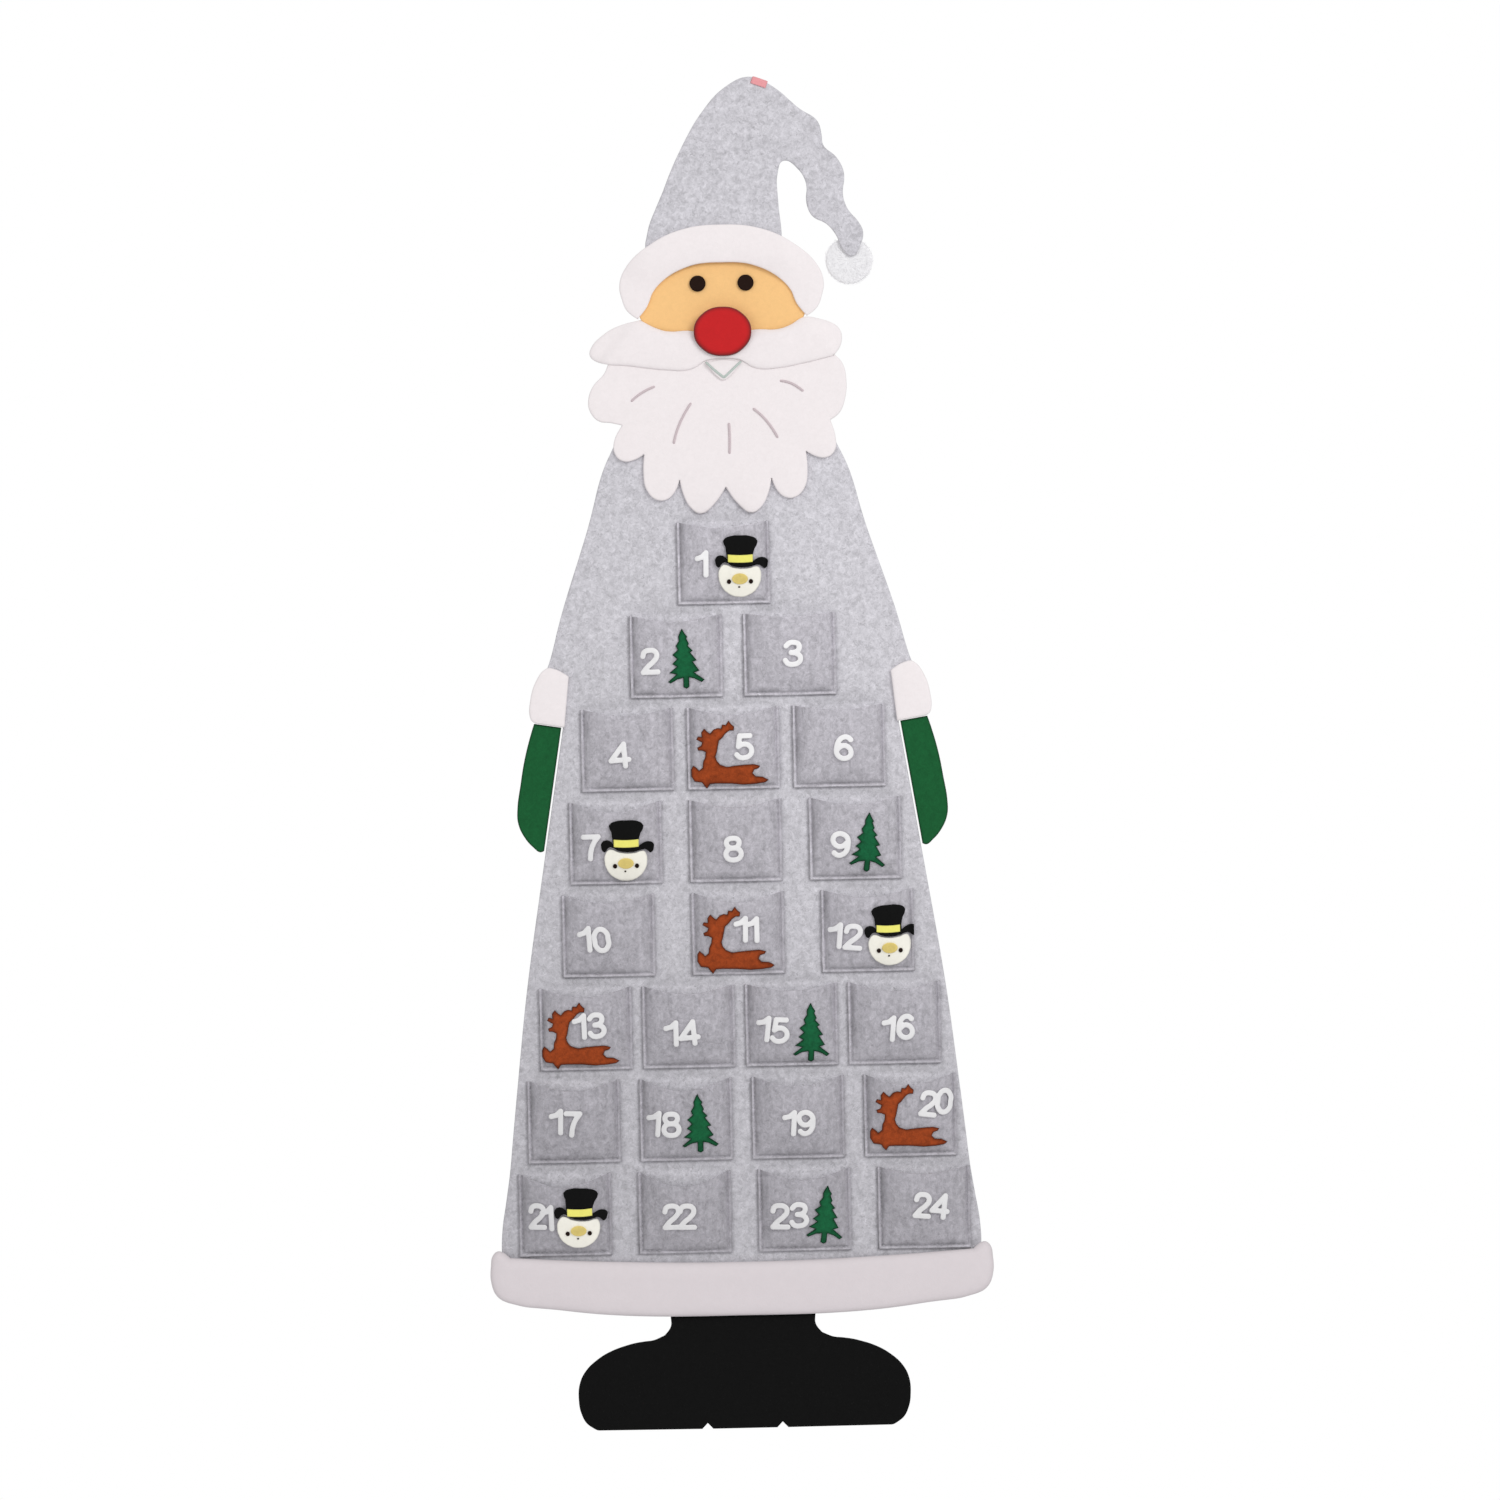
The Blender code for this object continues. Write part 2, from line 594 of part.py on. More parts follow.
def add_sleeve_ends(group, root):
    """Cuffs in front of the sleeve ends and mittens hinged below them."""
    hinge, tilt, length = sleeve_frame()
    cuff = [(x, z + gap, kind)
            for x, z, kind in scaled(cuff_shares, cuff_width, cuff_height)]
    mitten = scaled(mitten_shares, mitten_width, mitten_length)
    for side, sign in (("right", 1), ("left", -1)):
        location = (head_x + sign * hinge[0], panel_front_y, hinge[1])
        empty = new_empty(side + "_wrist", group, location, root,
                          -sign * tilt)
        shape = cuff if sign > 0 else flipped(cuff)
        felt_piece(side + "_cuff", shape, group, empty, (0.0, 0.0), -gap,
                   felt, "white")
        shape = mitten if sign > 0 else flipped(mitten)
        felt_piece(side + "_mitten", shape, group, empty, (0.0, 0.0), felt,
                   felt, "green")


def add_hem_and_boots(group, root):
    band_half = gown_hem_share * pocket_width + hem_overhang
    band = mirrored(scaled(hem_shares, band_half, hem_height))
    padded_piece("hem_band", band, group, root, (head_x, hem_top_z()),
                 first_y, hem_thickness, hem_thickness / 3, "white")
    leg_top_z = hem_top_z() - hem_height - gap
    hinge = new_empty("boots_hinge", group,
                      (head_x, panel_front_y, leg_top_z), root)
    half = [(0.0, 0.0, "C"), (leg_width / 2, 0.0, "C"),
            (leg_width / 2, -leg_foot_share * boots_height, "C")]
    half += scaled(boot_shares, boots_width / 2, boots_height)
    notch = notch_place_share * boots_width / 2
    half += [(notch + sole_notch_width / 2, -boots_height, "C"),
             (notch, sole_notch_height - boots_height, "C"),
             (notch - sole_notch_width / 2, -boots_height, "C"),
             (0.0, -boots_height, "C")]
    felt_piece("boots", mirrored(half), group, hinge, (0.0, 0.0), felt, felt,
               "black")


def pocket_places():
    """Middle of the foot of each pocket, from the first to the last."""
    places = []
    for row, (count, step_share, edge_share, shift_share) in enumerate(
            row_shares):
        middle = head_x + shift_share * pocket_width
        step = step_share * pocket_width
        for index in range(count):
            places.append((middle + (index - (count - 1) / 2) * step,
                           row_z(row) - pocket_height))
    return places


def leaning(points, lean_share):
    """Outline turned to the right about its middle by its lean."""
    turn = atan2(lean_share, 1)
    return [(x * cos(turn) + z * sin(turn), z * cos(turn) - x * sin(turn),
             kind) for x, z, kind in points]


def add_pockets(group, guides, root):
    mesh = pocket_mesh()
    places = pocket_places()
    for number, place in enumerate(places, 1):
        add_pocket(f"pocket_{number:02d}", mesh, group, root, place)
    tree = [(x * tree_height, z * tree_height, "C") for x, z in tree_shares]
    deer = [(x * deer_width, z * deer_width, "C") for x, z in deer_shares]
    snow_hat = scaled(snow_hat_shares, snowman_width, snowman_width)
    snow_face = scaled(snow_face_shares, snowman_width, snowman_width)
    motifs = {
        "tree": [("tree", tree, "green", applique_felt)],
        "deer": [("deer", deer, "brown", applique_felt)],
        "snowman": [("snowman_hat", snow_hat, "black", snowman_thickness),
                    ("snowman_face", snow_face, "white", snowman_thickness)],
    }
    for number, motif, x_share, z_share, lean_share in motif_shares:
        x, z = places[number - 1]
        place = (x + x_share * pocket_width,
                 z + pocket_height / 2 + z_share * pocket_height)
        for name, points, colour, thickness in motifs[motif]:
            layer = motif_layer(f"{name}_layer_{number:02d}", mesh, guides,
                                root, (x, z), thickness)
            add_motif(f"{name}_{number:02d}", leaning(points, lean_share),
                      layer, group, root, place, colour)


def main():
    clear_scene()
    group = new_collection("wall_advent_calendar")
    guides = new_collection("motif_guides")
    root = new_empty("hanging_point", group, (0.0, 0.0, 0.0))
    add_loop(group, root)
    add_head(group, root)
    add_gown(group, root)
    add_sleeve_ends(group, root)
    add_hem_and_boots(group, root)
    add_pockets(group, guides, root)
    bpy.context.view_layer.update()


main()
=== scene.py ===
"""Felt wall advent calendar: cloth, thread and light around its solid parts.

Every felt piece takes its outline from the solid that it dresses, and the
pockets, the numbers and the motifs share one pocket surface, so that what is
sewn or glued on a pocket follows it.  Units are metres, +Z is up, the front
faces -Y, and the nail is at the origin.
"""

import json
from collections import Counter
from math import cos, pi, radians, sin

import bmesh
import bpy
import numpy as np
from mathutils import Matrix, Vector
from mathutils.geometry import delaunay_2d_cdt


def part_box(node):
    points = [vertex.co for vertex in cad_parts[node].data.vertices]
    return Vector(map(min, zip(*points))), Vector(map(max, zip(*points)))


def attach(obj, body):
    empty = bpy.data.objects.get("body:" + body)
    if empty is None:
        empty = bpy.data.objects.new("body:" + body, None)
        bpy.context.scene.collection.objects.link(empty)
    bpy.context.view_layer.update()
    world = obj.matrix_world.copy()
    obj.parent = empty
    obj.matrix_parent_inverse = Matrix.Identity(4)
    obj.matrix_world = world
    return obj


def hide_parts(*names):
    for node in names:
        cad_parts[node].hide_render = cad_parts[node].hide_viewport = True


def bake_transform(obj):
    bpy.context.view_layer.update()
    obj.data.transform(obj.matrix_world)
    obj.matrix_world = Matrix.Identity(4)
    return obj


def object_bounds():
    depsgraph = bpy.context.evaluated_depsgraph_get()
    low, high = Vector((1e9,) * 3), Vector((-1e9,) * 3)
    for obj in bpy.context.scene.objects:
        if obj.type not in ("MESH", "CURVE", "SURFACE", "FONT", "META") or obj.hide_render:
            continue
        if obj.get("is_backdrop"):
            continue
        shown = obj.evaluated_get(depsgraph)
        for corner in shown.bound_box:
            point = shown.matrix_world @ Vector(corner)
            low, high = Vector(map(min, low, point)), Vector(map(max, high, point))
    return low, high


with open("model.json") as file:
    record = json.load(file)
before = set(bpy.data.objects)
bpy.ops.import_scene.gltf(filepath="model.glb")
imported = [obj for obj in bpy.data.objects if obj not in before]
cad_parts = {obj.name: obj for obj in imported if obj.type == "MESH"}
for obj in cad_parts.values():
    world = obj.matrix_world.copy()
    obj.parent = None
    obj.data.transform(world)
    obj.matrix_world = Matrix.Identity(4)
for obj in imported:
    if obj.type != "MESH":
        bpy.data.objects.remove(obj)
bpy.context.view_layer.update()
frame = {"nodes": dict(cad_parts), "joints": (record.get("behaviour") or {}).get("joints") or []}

bl_info = {
    "name": "Felt Advent Calendar",
    "version": (1, 0, 0),
    "blender": (4, 5, 0),
    "location": "3D View > Sidebar > Calendar",
    "description": "Builds a felt wall advent calendar, piece by piece",
    "category": "Add Mesh",
}

POCKETS = sorted(name for name in frame["nodes"] if name.startswith("pocket_"))
HINGES = {joint["name"]: joint for joint in frame["joints"]}

SEWN_GAP = 0.0003  # between two layers that are sewn together
EDGE_POWER = 2.6  # how full the rounding of a cut edge is
SAG_POWER = 1.25  # how evenly a mouth's dip spreads along the mouth
POCKET_FELT = 0.0015  # thickness of a pocket
POCKET_MESH = 0.0023  # side of a face in the middle of a pocket
HEAD_WIDTH = 0.160
ROW_SHARE = 0.866  # between rows of triangles, in shares of a side
SAME_PLACE = 0.00001  # corners nearer than this are one
POINTS_AT_ONCE = 1500  # how many points are measured at a time
NUMBER_MESH = 0.00062  # side of a face on a number
NUMBER_LIFT = 0.0002  # from a pocket's front to a number's back
MOTIF_LIFT = 0.00022  # from a pocket's front to a motif's back
MOTIF_FELT = 0.0012
SNOWMAN_FELT = 0.0022
PATCH_LIFT = 0.0026  # from a pocket's front to a patch on a motif
FLOOR_DROP = 0.16  # from the calendar's foot to the floor


def linear(red, green, blue):
    """Screen colour, 0 to 255, as the linear colour that shaders take."""
    shares = [channel / 255 for channel in (red, green, blue)]
    return tuple(share / 12.92 if share <= 0.04045
                 else ((share + 0.055) / 1.055) ** 2.4 for share in shares)


def colour(name, text, *screen):
    """A colour that can be set, given as a screen colour."""
    return bpy.props.FloatVectorProperty(
        name=name, description=text, subtype="COLOR", size=3, min=0, max=1,
        default=linear(*screen))


def length(name, text, value):
    """A length in metres that can be set."""
    return bpy.props.FloatProperty(
        name=name, description=text, subtype="DISTANCE", unit="LENGTH",
        min=0, default=value, precision=4)


class CalendarColours(bpy.types.PropertyGroup):
    """Colours of the felts, threads and ribbon."""

    gown: colour("Gown", "Heathered felt of the gown and hat", 205, 203, 209)
    pocket: colour("Pockets", "Felt of the pockets", 187, 184, 191)
    white: colour("White", "Felt of the beard, brim and cuffs", 243, 236, 237)
    # Greyer than the white felt as painted shade, for the dimmer light at the foot.
    hem: colour("Hem", "Soft band along the hem", 222, 214, 217)
    face: colour("Face", "Felt of the face", 249, 200, 135)
    nose: colour("Nose", "Felt of the nose", 199, 27, 31)
    eye: colour("Eyes", "Felt of the eyes", 34, 18, 12)
    mitten: colour("Mittens", "Felt of the mittens", 22, 90, 48)
    boot: colour("Boots", "Felt of the boots", 9, 9, 9)
    tree: colour("Fir trees", "Felt of the fir trees", 20, 96, 58)
    deer: colour("Reindeer", "Felt of the reindeer", 158, 68, 28)
    snow: colour("Snowmen", "Felt of the snowmen's faces", 250, 247, 236)
    band: colour("Hat bands", "Felt of the bands on the top hats",
                 244, 238, 120)
    button: colour("Snowmen's noses", "Felt of the snowmen's noses",
                   222, 200, 118)
    number: colour("Numbers", "Felt of the numbers", 255, 254, 255)
    pompom: colour("Pompom", "Wool of the pompom", 238, 237, 239)
    fringe: colour("Fringe", "Wool strands of the pompom", 249, 248, 250)
    ribbon: colour("Ribbon", "Ribbon of the hanging loop", 241, 160, 165)
    crease: colour("Beard thread", "Thread of the strokes in the beard",
                   205, 190, 194)
    # Thread along the lower lip's edge, standing in as painted shade for the shade line there.
    lip: colour("Lip thread", "Thread of the strokes below the moustache",
                190, 201, 195)
    seam: colour("Seam thread", "Thread of the seams on grey felt",
                 176, 173, 180)


class CalendarSizes(bpy.types.PropertyGroup):
    """Sizes that the cloth and its trimmings are made to."""

    rounding: length("Edge rounding", "Soft rounding of a cut edge", 0.0011)
    seam_inset: length("Seam inset", "From a pocket's cut edge to its seam",
                       0.0029)
    mouth: length("Mouth depth", "How far a pocket's mouth stands open",
                  0.0124)
    sag: length("Mouth sag", "How far a usual mouth dips in the middle",
                0.0070)
    number_height: length("Number height", "Height of a number", 0.0213)
    number_stroke: length("Number stroke", "Width of a number's strokes",
                          0.0043)
    number_felt: length("Number felt", "Thickness of a number", 0.0023)
    stitch: length("Stitch", "Length of one stitch", 0.0026)
    stitch_space: length("Stitch space", "Space between two stitches", 0.0011)
    thread: length("Thread", "Thickness of the thread", 0.0006)
    wave: length("Hanging wave", "Height of the panel's slow waves", 0.0008)


class CalendarStudio(bpy.types.PropertyGroup):
    """Camera and lamps."""

    distance: length("Camera distance", "From the camera to the calendar",
                     3.2)
    width: length("Framing", "Width of the picture at the calendar", 1.17)
    lean: bpy.props.FloatProperty(
        name="Lean", description="How far the calendar leans in the picture",
        subtype="ANGLE", unit="ROTATION", default=radians(1.198))
    daylight: bpy.props.FloatProperty(
        name="Daylight", description="Strength of the light from all round",
        min=0, default=0.62)
    key: bpy.props.FloatProperty(
        name="Main lamp", description="Power of the main lamp in watts",
        min=0, default=30)
    fill: bpy.props.FloatProperty(
        name="Fill lamp", description="Power of the fill lamp in watts",
        min=0, default=11)


def sizes():
    return bpy.context.scene.calendar_sizes


def colours():
    return bpy.context.scene.calendar_colours


class Socket:
    """A node's output; sums on it add Math nodes."""

    def __init__(self, finish, output):
        self.finish = finish
        self.output = output

    def sum_with(self, operation, first, second):
        """A Math node over two values or sockets."""
        return self.finish.node("ShaderNodeMath", {"operation": operation},
                                first, second)

    def __add__(self, other):
        return self.sum_with("ADD", self, other)

    def __sub__(self, other):
        return self.sum_with("SUBTRACT", self, other)

    def __rsub__(self, other):
        return self.sum_with("SUBTRACT", other, self)

    def __mul__(self, other):
        return self.sum_with("MULTIPLY", self, other)

    __radd__ = __add__
    __rmul__ = __mul__


class Finish:
    """A material in the making."""

    def __init__(self, name):
        self.material = bpy.data.materials.new(name)
        self.material.use_nodes = True
        self.nodes = self.material.node_tree.nodes
        self.links = self.material.node_tree.links
        self.nodes.clear()

    def node(self, kind, settings, *values, output=0, **named):
        """Add a node, its settings first and then its sockets' values."""
        made = self.nodes.new(kind)
        for key, value in settings.items():
            setattr(made, key, value)
        sockets = list(enumerate(values)) + [
            (key.replace("_", " "), value) for key, value in named.items()]
        for key, value in sockets:
            if isinstance(value, Socket):
                self.links.new(value.output, made.inputs[key])
            elif value is not None:
                made.inputs[key].default_value = value
        return Socket(self, made.outputs[output])

    def noise(self, place, scale, detail=2.0, roughness=0.5, distortion=0.0):
        return self.node("ShaderNodeTexNoise", {}, None, Vector=place,
                         Scale=scale, Detail=detail, Roughness=roughness,
                         Distortion=distortion)

    def spread(self, value, low, high, to_low=0.0, to_high=1.0):
        """A value's place between low and high, as a new range."""
        return self.node("ShaderNodeMapRange", {"clamp": True}, value, low,
                         high, to_low, to_high)

    def dyed(self, shade, factor):
        """A colour made lighter or darker by a factor."""
        plain = self.node("ShaderNodeRGB", {})
        plain.output.default_value = (*shade, 1.0)
        return self.node("ShaderNodeVectorMath", {"operation": "SCALE"},
                         plain, Scale=factor)

    def carried(self, key):
        """A value that the mesh's points carry."""
        return self.node("ShaderNodeAttribute", {"attribute_name": key},
                         output=2)

    def mix(self, factor, first, second):
        """Two colours mixed by a factor."""
        first = (*first, 1.0) if isinstance(first, tuple) else first
        second = (*second, 1.0) if isinstance(second, tuple) else second
        made = self.nodes.new("ShaderNodeMix")
        made.data_type = "RGBA"
        for index, value in ((0, factor), (6, first), (7, second)):
            if isinstance(value, Socket):
                self.links.new(value.output, made.inputs[index])
            else:
                made.inputs[index].default_value = value
        return Socket(self, made.outputs[2])

    def object_place(self):
        """The place on the object, which stays with it as it moves."""
        return self.node("ShaderNodeTexCoord", {}, output=3)

    def surface(self, **named):
        """Finish the material with these values of its shader."""
        shader = self.node("ShaderNodeBsdfPrincipled", {}, **named)
        out = self.nodes.new("ShaderNodeOutputMaterial")
        self.links.new(shader.output, out.inputs["Surface"])
        return self.material


def felt_finish(name, shade, mottle=0.05, heather=0.10, rim=0.0, rim_width=1.2,
                fuzz=0.35, sheen=0.25, speck=0.0, streak=0.0, falloff_shade=None,
                sewn=False):
    """Felt: matted fibres, slow clouds, dark flecks and a rim made darker, or lighter where rim
    is below zero; the darker rim is partly the cut edge's own tone and partly painted edge
    shade.
    """
    felt = Finish(name)
    place = felt.object_place()
    bent = felt.node(
        "ShaderNodeVectorMath", {"operation": "MULTIPLY_ADD"},
        felt.node("ShaderNodeTexNoise", {}, None, Vector=place, Scale=170.0,
                  Detail=2.0, output=1), (0.011, 0.011, 0.011), place)
    fibre = felt.noise(bent, 520.0, 4.0, 0.62, 1.6)
    clump = felt.noise(place, 240.0, 3.0, 0.62, 0.8)
    cloud = felt.noise(place, 90.0, 2.0, 0.6, 0.3)
    factor = (1.0 + (fibre - 0.5) * (heather * 2.2)
              + (clump - 0.5) * (heather * 2.6) + (cloud - 0.5) * mottle)
    edge = felt.carried("edge")
    # Darker near the cut edge: partly the felt's own edge tone, partly painted edge shade.
    near = felt.spread(edge, 0.0, rim_width * 0.001, 1.0, 0.0)
    factor = factor * (1.0 - near * near * rim)
    if sewn:
        # Painted light and shade along a pocket's seams: a lighter flange between the seam and
        # the cut edge (painted highlight), a darker band inside the seam (painted shade) and a
        # darker cut edge (painted shadow under it), each scaled by the pull value that the
        # pocket carries.
        flange_highlight = (felt.spread(edge, 0.0005, 0.0012)
                  * felt.spread(edge, 0.0020, 0.0028, 1.0, 0.0))
        groove = (felt.spread(edge, 0.0020, 0.0029)
                  * felt.spread(edge, 0.0032, 0.0080, 1.0, 0.0))
        cut = felt.spread(edge, 0.0003, 0.0011, 1.0, 0.0)
        pull = felt.carried("pull") * felt.spread(
            felt.noise(place, 62.0, 1.0), 0.3, 0.7, 0.35, 1.3)
        factor = factor * (1.0 + pull * (flange_highlight * 0.13 - groove * 0.26
                                         - cut * 0.38))
    if falloff_shade:
        # Painted shade: darker towards the foot and the left side, and lighter towards the top,
        # for how the light falls across the calendar.
        level = felt.node("ShaderNodeSeparateXYZ", {}, place, output=2)
        across = felt.node("ShaderNodeSeparateXYZ", {}, place, output=0)
        factor = (factor * felt.spread(level, -0.90, -0.40, *falloff_shade)
                  * felt.spread(across, -0.18, 0.02, 0.93, 1.0))
        # Painted light: the gown seen through a pocket's mouth is made paler.
        factor = factor * (1.0 + felt.carried("mouth_light") * 0.28)
    if streak:
        drawn = felt.node("ShaderNodeVectorMath", {"operation": "MULTIPLY"},
                          place, (1.0, 1.0, 0.16))
        factor = factor + (felt.noise(drawn, 230.0, 3.0, 0.6) - 0.5) * streak
    base = felt.dyed(shade, factor)
    if speck:
        flecks = felt.spread(felt.noise(bent, 330.0, 3.0, 0.55, 2.2), 0.60,
                             0.72)
        base = felt.mix(flecks * speck, base,
                        tuple(channel * 0.42 for channel in shade))
    height = fibre * 0.6 + clump * 0.5 + felt.noise(bent, 1500.0, 3.0) * 0.3
    normal = felt.node("ShaderNodeBump", {}, fuzz, 0.0007, Height=height)
    roughness = felt.spread(fibre, 0.2, 0.8, 0.98, 0.88)
    return felt.surface(Base_Color=base, Roughness=roughness, Normal=normal,
                        Sheen_Weight=sheen, Sheen_Roughness=0.55,
                        Specular_IOR_Level=0.18)


def thread_finish(name, shade):
    """Twisted sewing thread."""
    thread = Finish(name)
    place = thread.object_place()
    twist = thread.noise(place, 2600.0, 2.0)
    base = thread.dyed(shade, 0.84 + twist * 0.32)
    normal = thread.node("ShaderNodeBump", {}, 0.4, 0.0002, Height=twist)
    return thread.surface(Base_Color=base, Roughness=0.76, Normal=normal,
                          Sheen_Weight=0.2)


def ribbon_finish(name, shade):
    """Woven ribbon with fine ribs across it."""
    ribbon = Finish(name)
    place = ribbon.object_place()
    ribs = ribbon.node("ShaderNodeTexWave",
                       {"wave_type": "BANDS", "bands_direction": "Z"}, None,
                       Vector=place, Scale=420.0, Distortion=0.6,
                       Detail=1.0, Detail_Scale=3.0, output=1)
    weave = ribbon.noise(place, 1500.0, 2.0)
    base = ribbon.dyed(shade, 0.82 + ribs * 0.22 + weave * 0.12)
    normal = ribbon.node("ShaderNodeBump", {}, 0.5, 0.0003,
                         Height=ribs + weave * 0.4)
    return ribbon.surface(Base_Color=base, Roughness=0.62, Normal=normal,
                          Sheen_Weight=0.3, Sheen_Roughness=0.4)


def finish_for(name):
    """The material of that name, made the first time it is asked for."""
    found = bpy.data.materials.get(name)
    if found:
        return found
    shades = colours()
    felts = {
        "gown_felt": dict(shade=shades.gown, heather=0.34, mottle=0.28,
                          speck=0.6, rim=0.05, falloff_shade=(0.88, 1.04)),
        "hat_cloth": dict(shade=shades.gown, heather=0.34, mottle=0.28,
                          speck=0.6, rim=0.05),
        "pocket_felt_cloth": dict(shade=shades.pocket, heather=0.36,
                                  mottle=0.16, speck=0.5, streak=0.42,
                                  falloff_shade=(0.82, 1.09), sewn=True),
        "white_felt_cloth": dict(shade=shades.white, heather=0.035,
                                 mottle=0.03, rim=0.06, fuzz=0.22),
        "moustache_cloth": dict(shade=shades.white, heather=0.035,
                                mottle=0.03, fuzz=0.22),
        # The darker 5 mm rim is painted shade on the padded band's rounded edges.
        "hem_cloth": dict(shade=shades.hem, heather=0.02, mottle=0.04,
                          rim=0.12, rim_width=5.0, fuzz=0.22),
        "face_felt": dict(shade=shades.face, heather=0.05, mottle=0.04,
                          fuzz=0.22),
        "nose_felt": dict(shade=shades.nose, heather=0.05, mottle=0.06,
                          rim=0.86, rim_width=4.6),
        "eye_felt": dict(shade=shades.eye, heather=0.15, rim=0.3,
                         sheen=0.0),
        "mitten_felt": dict(shade=shades.mitten, heather=0.22, mottle=0.12,
                            rim=0.72, rim_width=2.2, sheen=0.05),
        "boot_felt": dict(shade=shades.boot, heather=0.25, mottle=0.1,
                          sheen=0.0),
        "tree_felt": dict(shade=shades.tree, heather=0.36, mottle=0.2,
                          rim=0.88, rim_width=2.8, sheen=0.04),
        "deer_felt": dict(shade=shades.deer, heather=0.42, mottle=0.3,
                          rim=0.84, rim_width=3.0, sheen=0.04),
        "top_hat_felt": dict(shade=shades.boot, heather=0.25, sheen=0.0),
        # The darker rim is painted shadow round the snowmen's faces.
        "snow_felt": dict(shade=shades.snow, heather=0.03, rim=0.30,
                          rim_width=1.3, fuzz=0.2),
        "band_felt": dict(shade=shades.band, heather=0.06, rim=0.2,
                          fuzz=0.2),
        "button_felt": dict(shade=shades.button, heather=0.12, rim=-0.12,
                            rim_width=3.0, fuzz=0.25),
        "number_felt": dict(shade=shades.number, heather=0.02, fuzz=0.2,
                            falloff_shade=(0.80, 0.96)),
        "pompom_wool": dict(shade=shades.pompom, heather=0.08, rim=-0.12,
                            rim_width=8.0, fuzz=0.3),
        "fringe_wool": dict(shade=shades.fringe, heather=0.02, fuzz=0.1,
                            sheen=0.5),
    }
    if name in felts:
        return felt_finish(name, tuple(felts[name].pop("shade")),
                           **felts[name])
    if name == "ribbon_cloth":
        return ribbon_finish(name, tuple(shades.ribbon))
    threads = {"seam_thread": shades.seam, "crease_thread": shades.crease,
               "white_thread": shades.white, "lip_shade_thread": shades.lip}
    return thread_finish(name, tuple(threads[name]))


def rounded(share):
    """Fullness of a cut edge: 0 at the cut and 1 past its rounding."""
    return (1 - (1 - share) ** EDGE_POWER) ** (1 / EDGE_POWER)


def wave(x, z):
    """How far the hanging panel stands forward of flat."""
    drop = np.clip((-z - 0.08) / 0.20, 0, 1)
    slow = np.sin(17 * x + 1.1) * np.sin(9.5 * z + 0.4)
    quick = np.sin(31 * x - 21 * z + 0.6)
    return sizes().wave * drop * drop * (0.7 * slow + 0.3 * quick)


def unpaired(edges):
    """Directed edges that no edge runs against."""
    count = Counter()
    for edge in edges:
        if count[edge[::-1]] > 0:
            count[edge[::-1]] -= 1
        else:
            count[edge] += 1
    return sorted(count.elements())


def outlines(node):
    """Closed outlines of a solid's front face, as arrays of x and z."""
    work = bmesh.new()
    work.from_mesh(frame["nodes"][node].data)
    bmesh.ops.triangulate(work, faces=work.faces)
    bmesh.ops.remove_doubles(work, verts=work.verts, dist=SAME_PLACE)
    work.normal_update()
    places = np.array([(vert.co.x, vert.co.z) for vert in work.verts])
    ahead = []
    for face in work.faces:
        if face.normal.y < -0.1:
            corners = [vert.index for vert in face.verts]
            ahead += zip(corners, corners[1:] + corners[:1])
    work.free()
    ahead = unpaired(ahead)
    split = []
    used = np.array(sorted({corner for edge in ahead for corner in edge}))
    for first, last in ahead:
        run = places[last] - places[first]
        reach = max(float(np.hypot(*run)), 1e-9)
        away = places[used] - places[first]
        along = away @ run / reach
        aside = np.abs(away[:, 0] * run[1] - away[:, 1] * run[0]) / reach
        between = used[(aside < SAME_PLACE) & (along > SAME_PLACE)
                       & (along < reach - SAME_PLACE)]
        between = sorted(between, key=lambda spot: float(
            (places[spot] - places[first]) @ run))
        stops = [first, *between, last]
        split += zip(stops, stops[1:])
    following = {}
    for first, last in unpaired(split):
        following.setdefault(first, []).append(last)
    found = []
    while following:
        here = min(following)
        chain = []
        while here in following:
            chain.append(places[here])
            after = following[here].pop(0)
            if not following[here]:
                del following[here]
            here = after
        loop = np.array(chain)
        turned = np.roll(loop, -1, 0)
        area = (loop[:, 0] * turned[:, 1] - loop[:, 1] * turned[:, 0]).sum()
        if len(loop) > 2 and abs(area) / 2 > 1e-6:
            found.append(loop)
    return found


def smoothed(loop, spacing, corner=38):
    """A closed outline drawn through its points with round bends."""
    step = np.roll(loop, -1, 0) - loop
    reach = np.hypot(*step.T)
    loop, step, reach = (part[reach > 0.00015] for part in
                         (loop, step, reach))
    step = np.roll(loop, -1, 0) - loop
    reach = np.hypot(*step.T)
    aim = step / reach[:, None]
    before = np.roll(aim, 1, 0)
    turn = np.degrees(np.arccos(np.clip((aim * before).sum(1), -1, 1)))
    sharp = turn > corner
    share = np.roll(reach, 1) / (reach + np.roll(reach, 1))
    share = np.where(share < 0.3, 1, np.where(share > 0.7, 0, share))
    along = aim * share[:, None] + before * (1 - share)[:, None]
    along /= np.hypot(*along.T)[:, None]
    made = []
    for here, size in enumerate(reach):
        ahead = (here + 1) % len(loop)
        leave = aim[here] if sharp[here] else along[here]
        arrive = aim[here] if sharp[ahead] else along[ahead]
        count = max(1, round(size / spacing))
        for t in np.arange(count) / count:
            made.append(
                (2 * t ** 3 - 3 * t ** 2 + 1) * loop[here]
                + (t ** 3 - 2 * t ** 2 + t) * size * leave
                + (3 * t ** 2 - 2 * t ** 3) * loop[ahead]
                + (t ** 3 - t ** 2) * size * arrive)
    return np.array(made)


def in_parts(points, loops, measure):
    """Apply a measure to points against the outlines' edges, in parts."""
    if not len(points):
        return np.zeros(0, bool)
    starts = np.concatenate(loops)
    run = np.concatenate([np.roll(loop, -1, 0) for loop in loops]) - starts
    return np.concatenate([
        measure(points[first:first + POINTS_AT_ONCE], starts, run)
        for first in range(0, len(points), POINTS_AT_ONCE)])


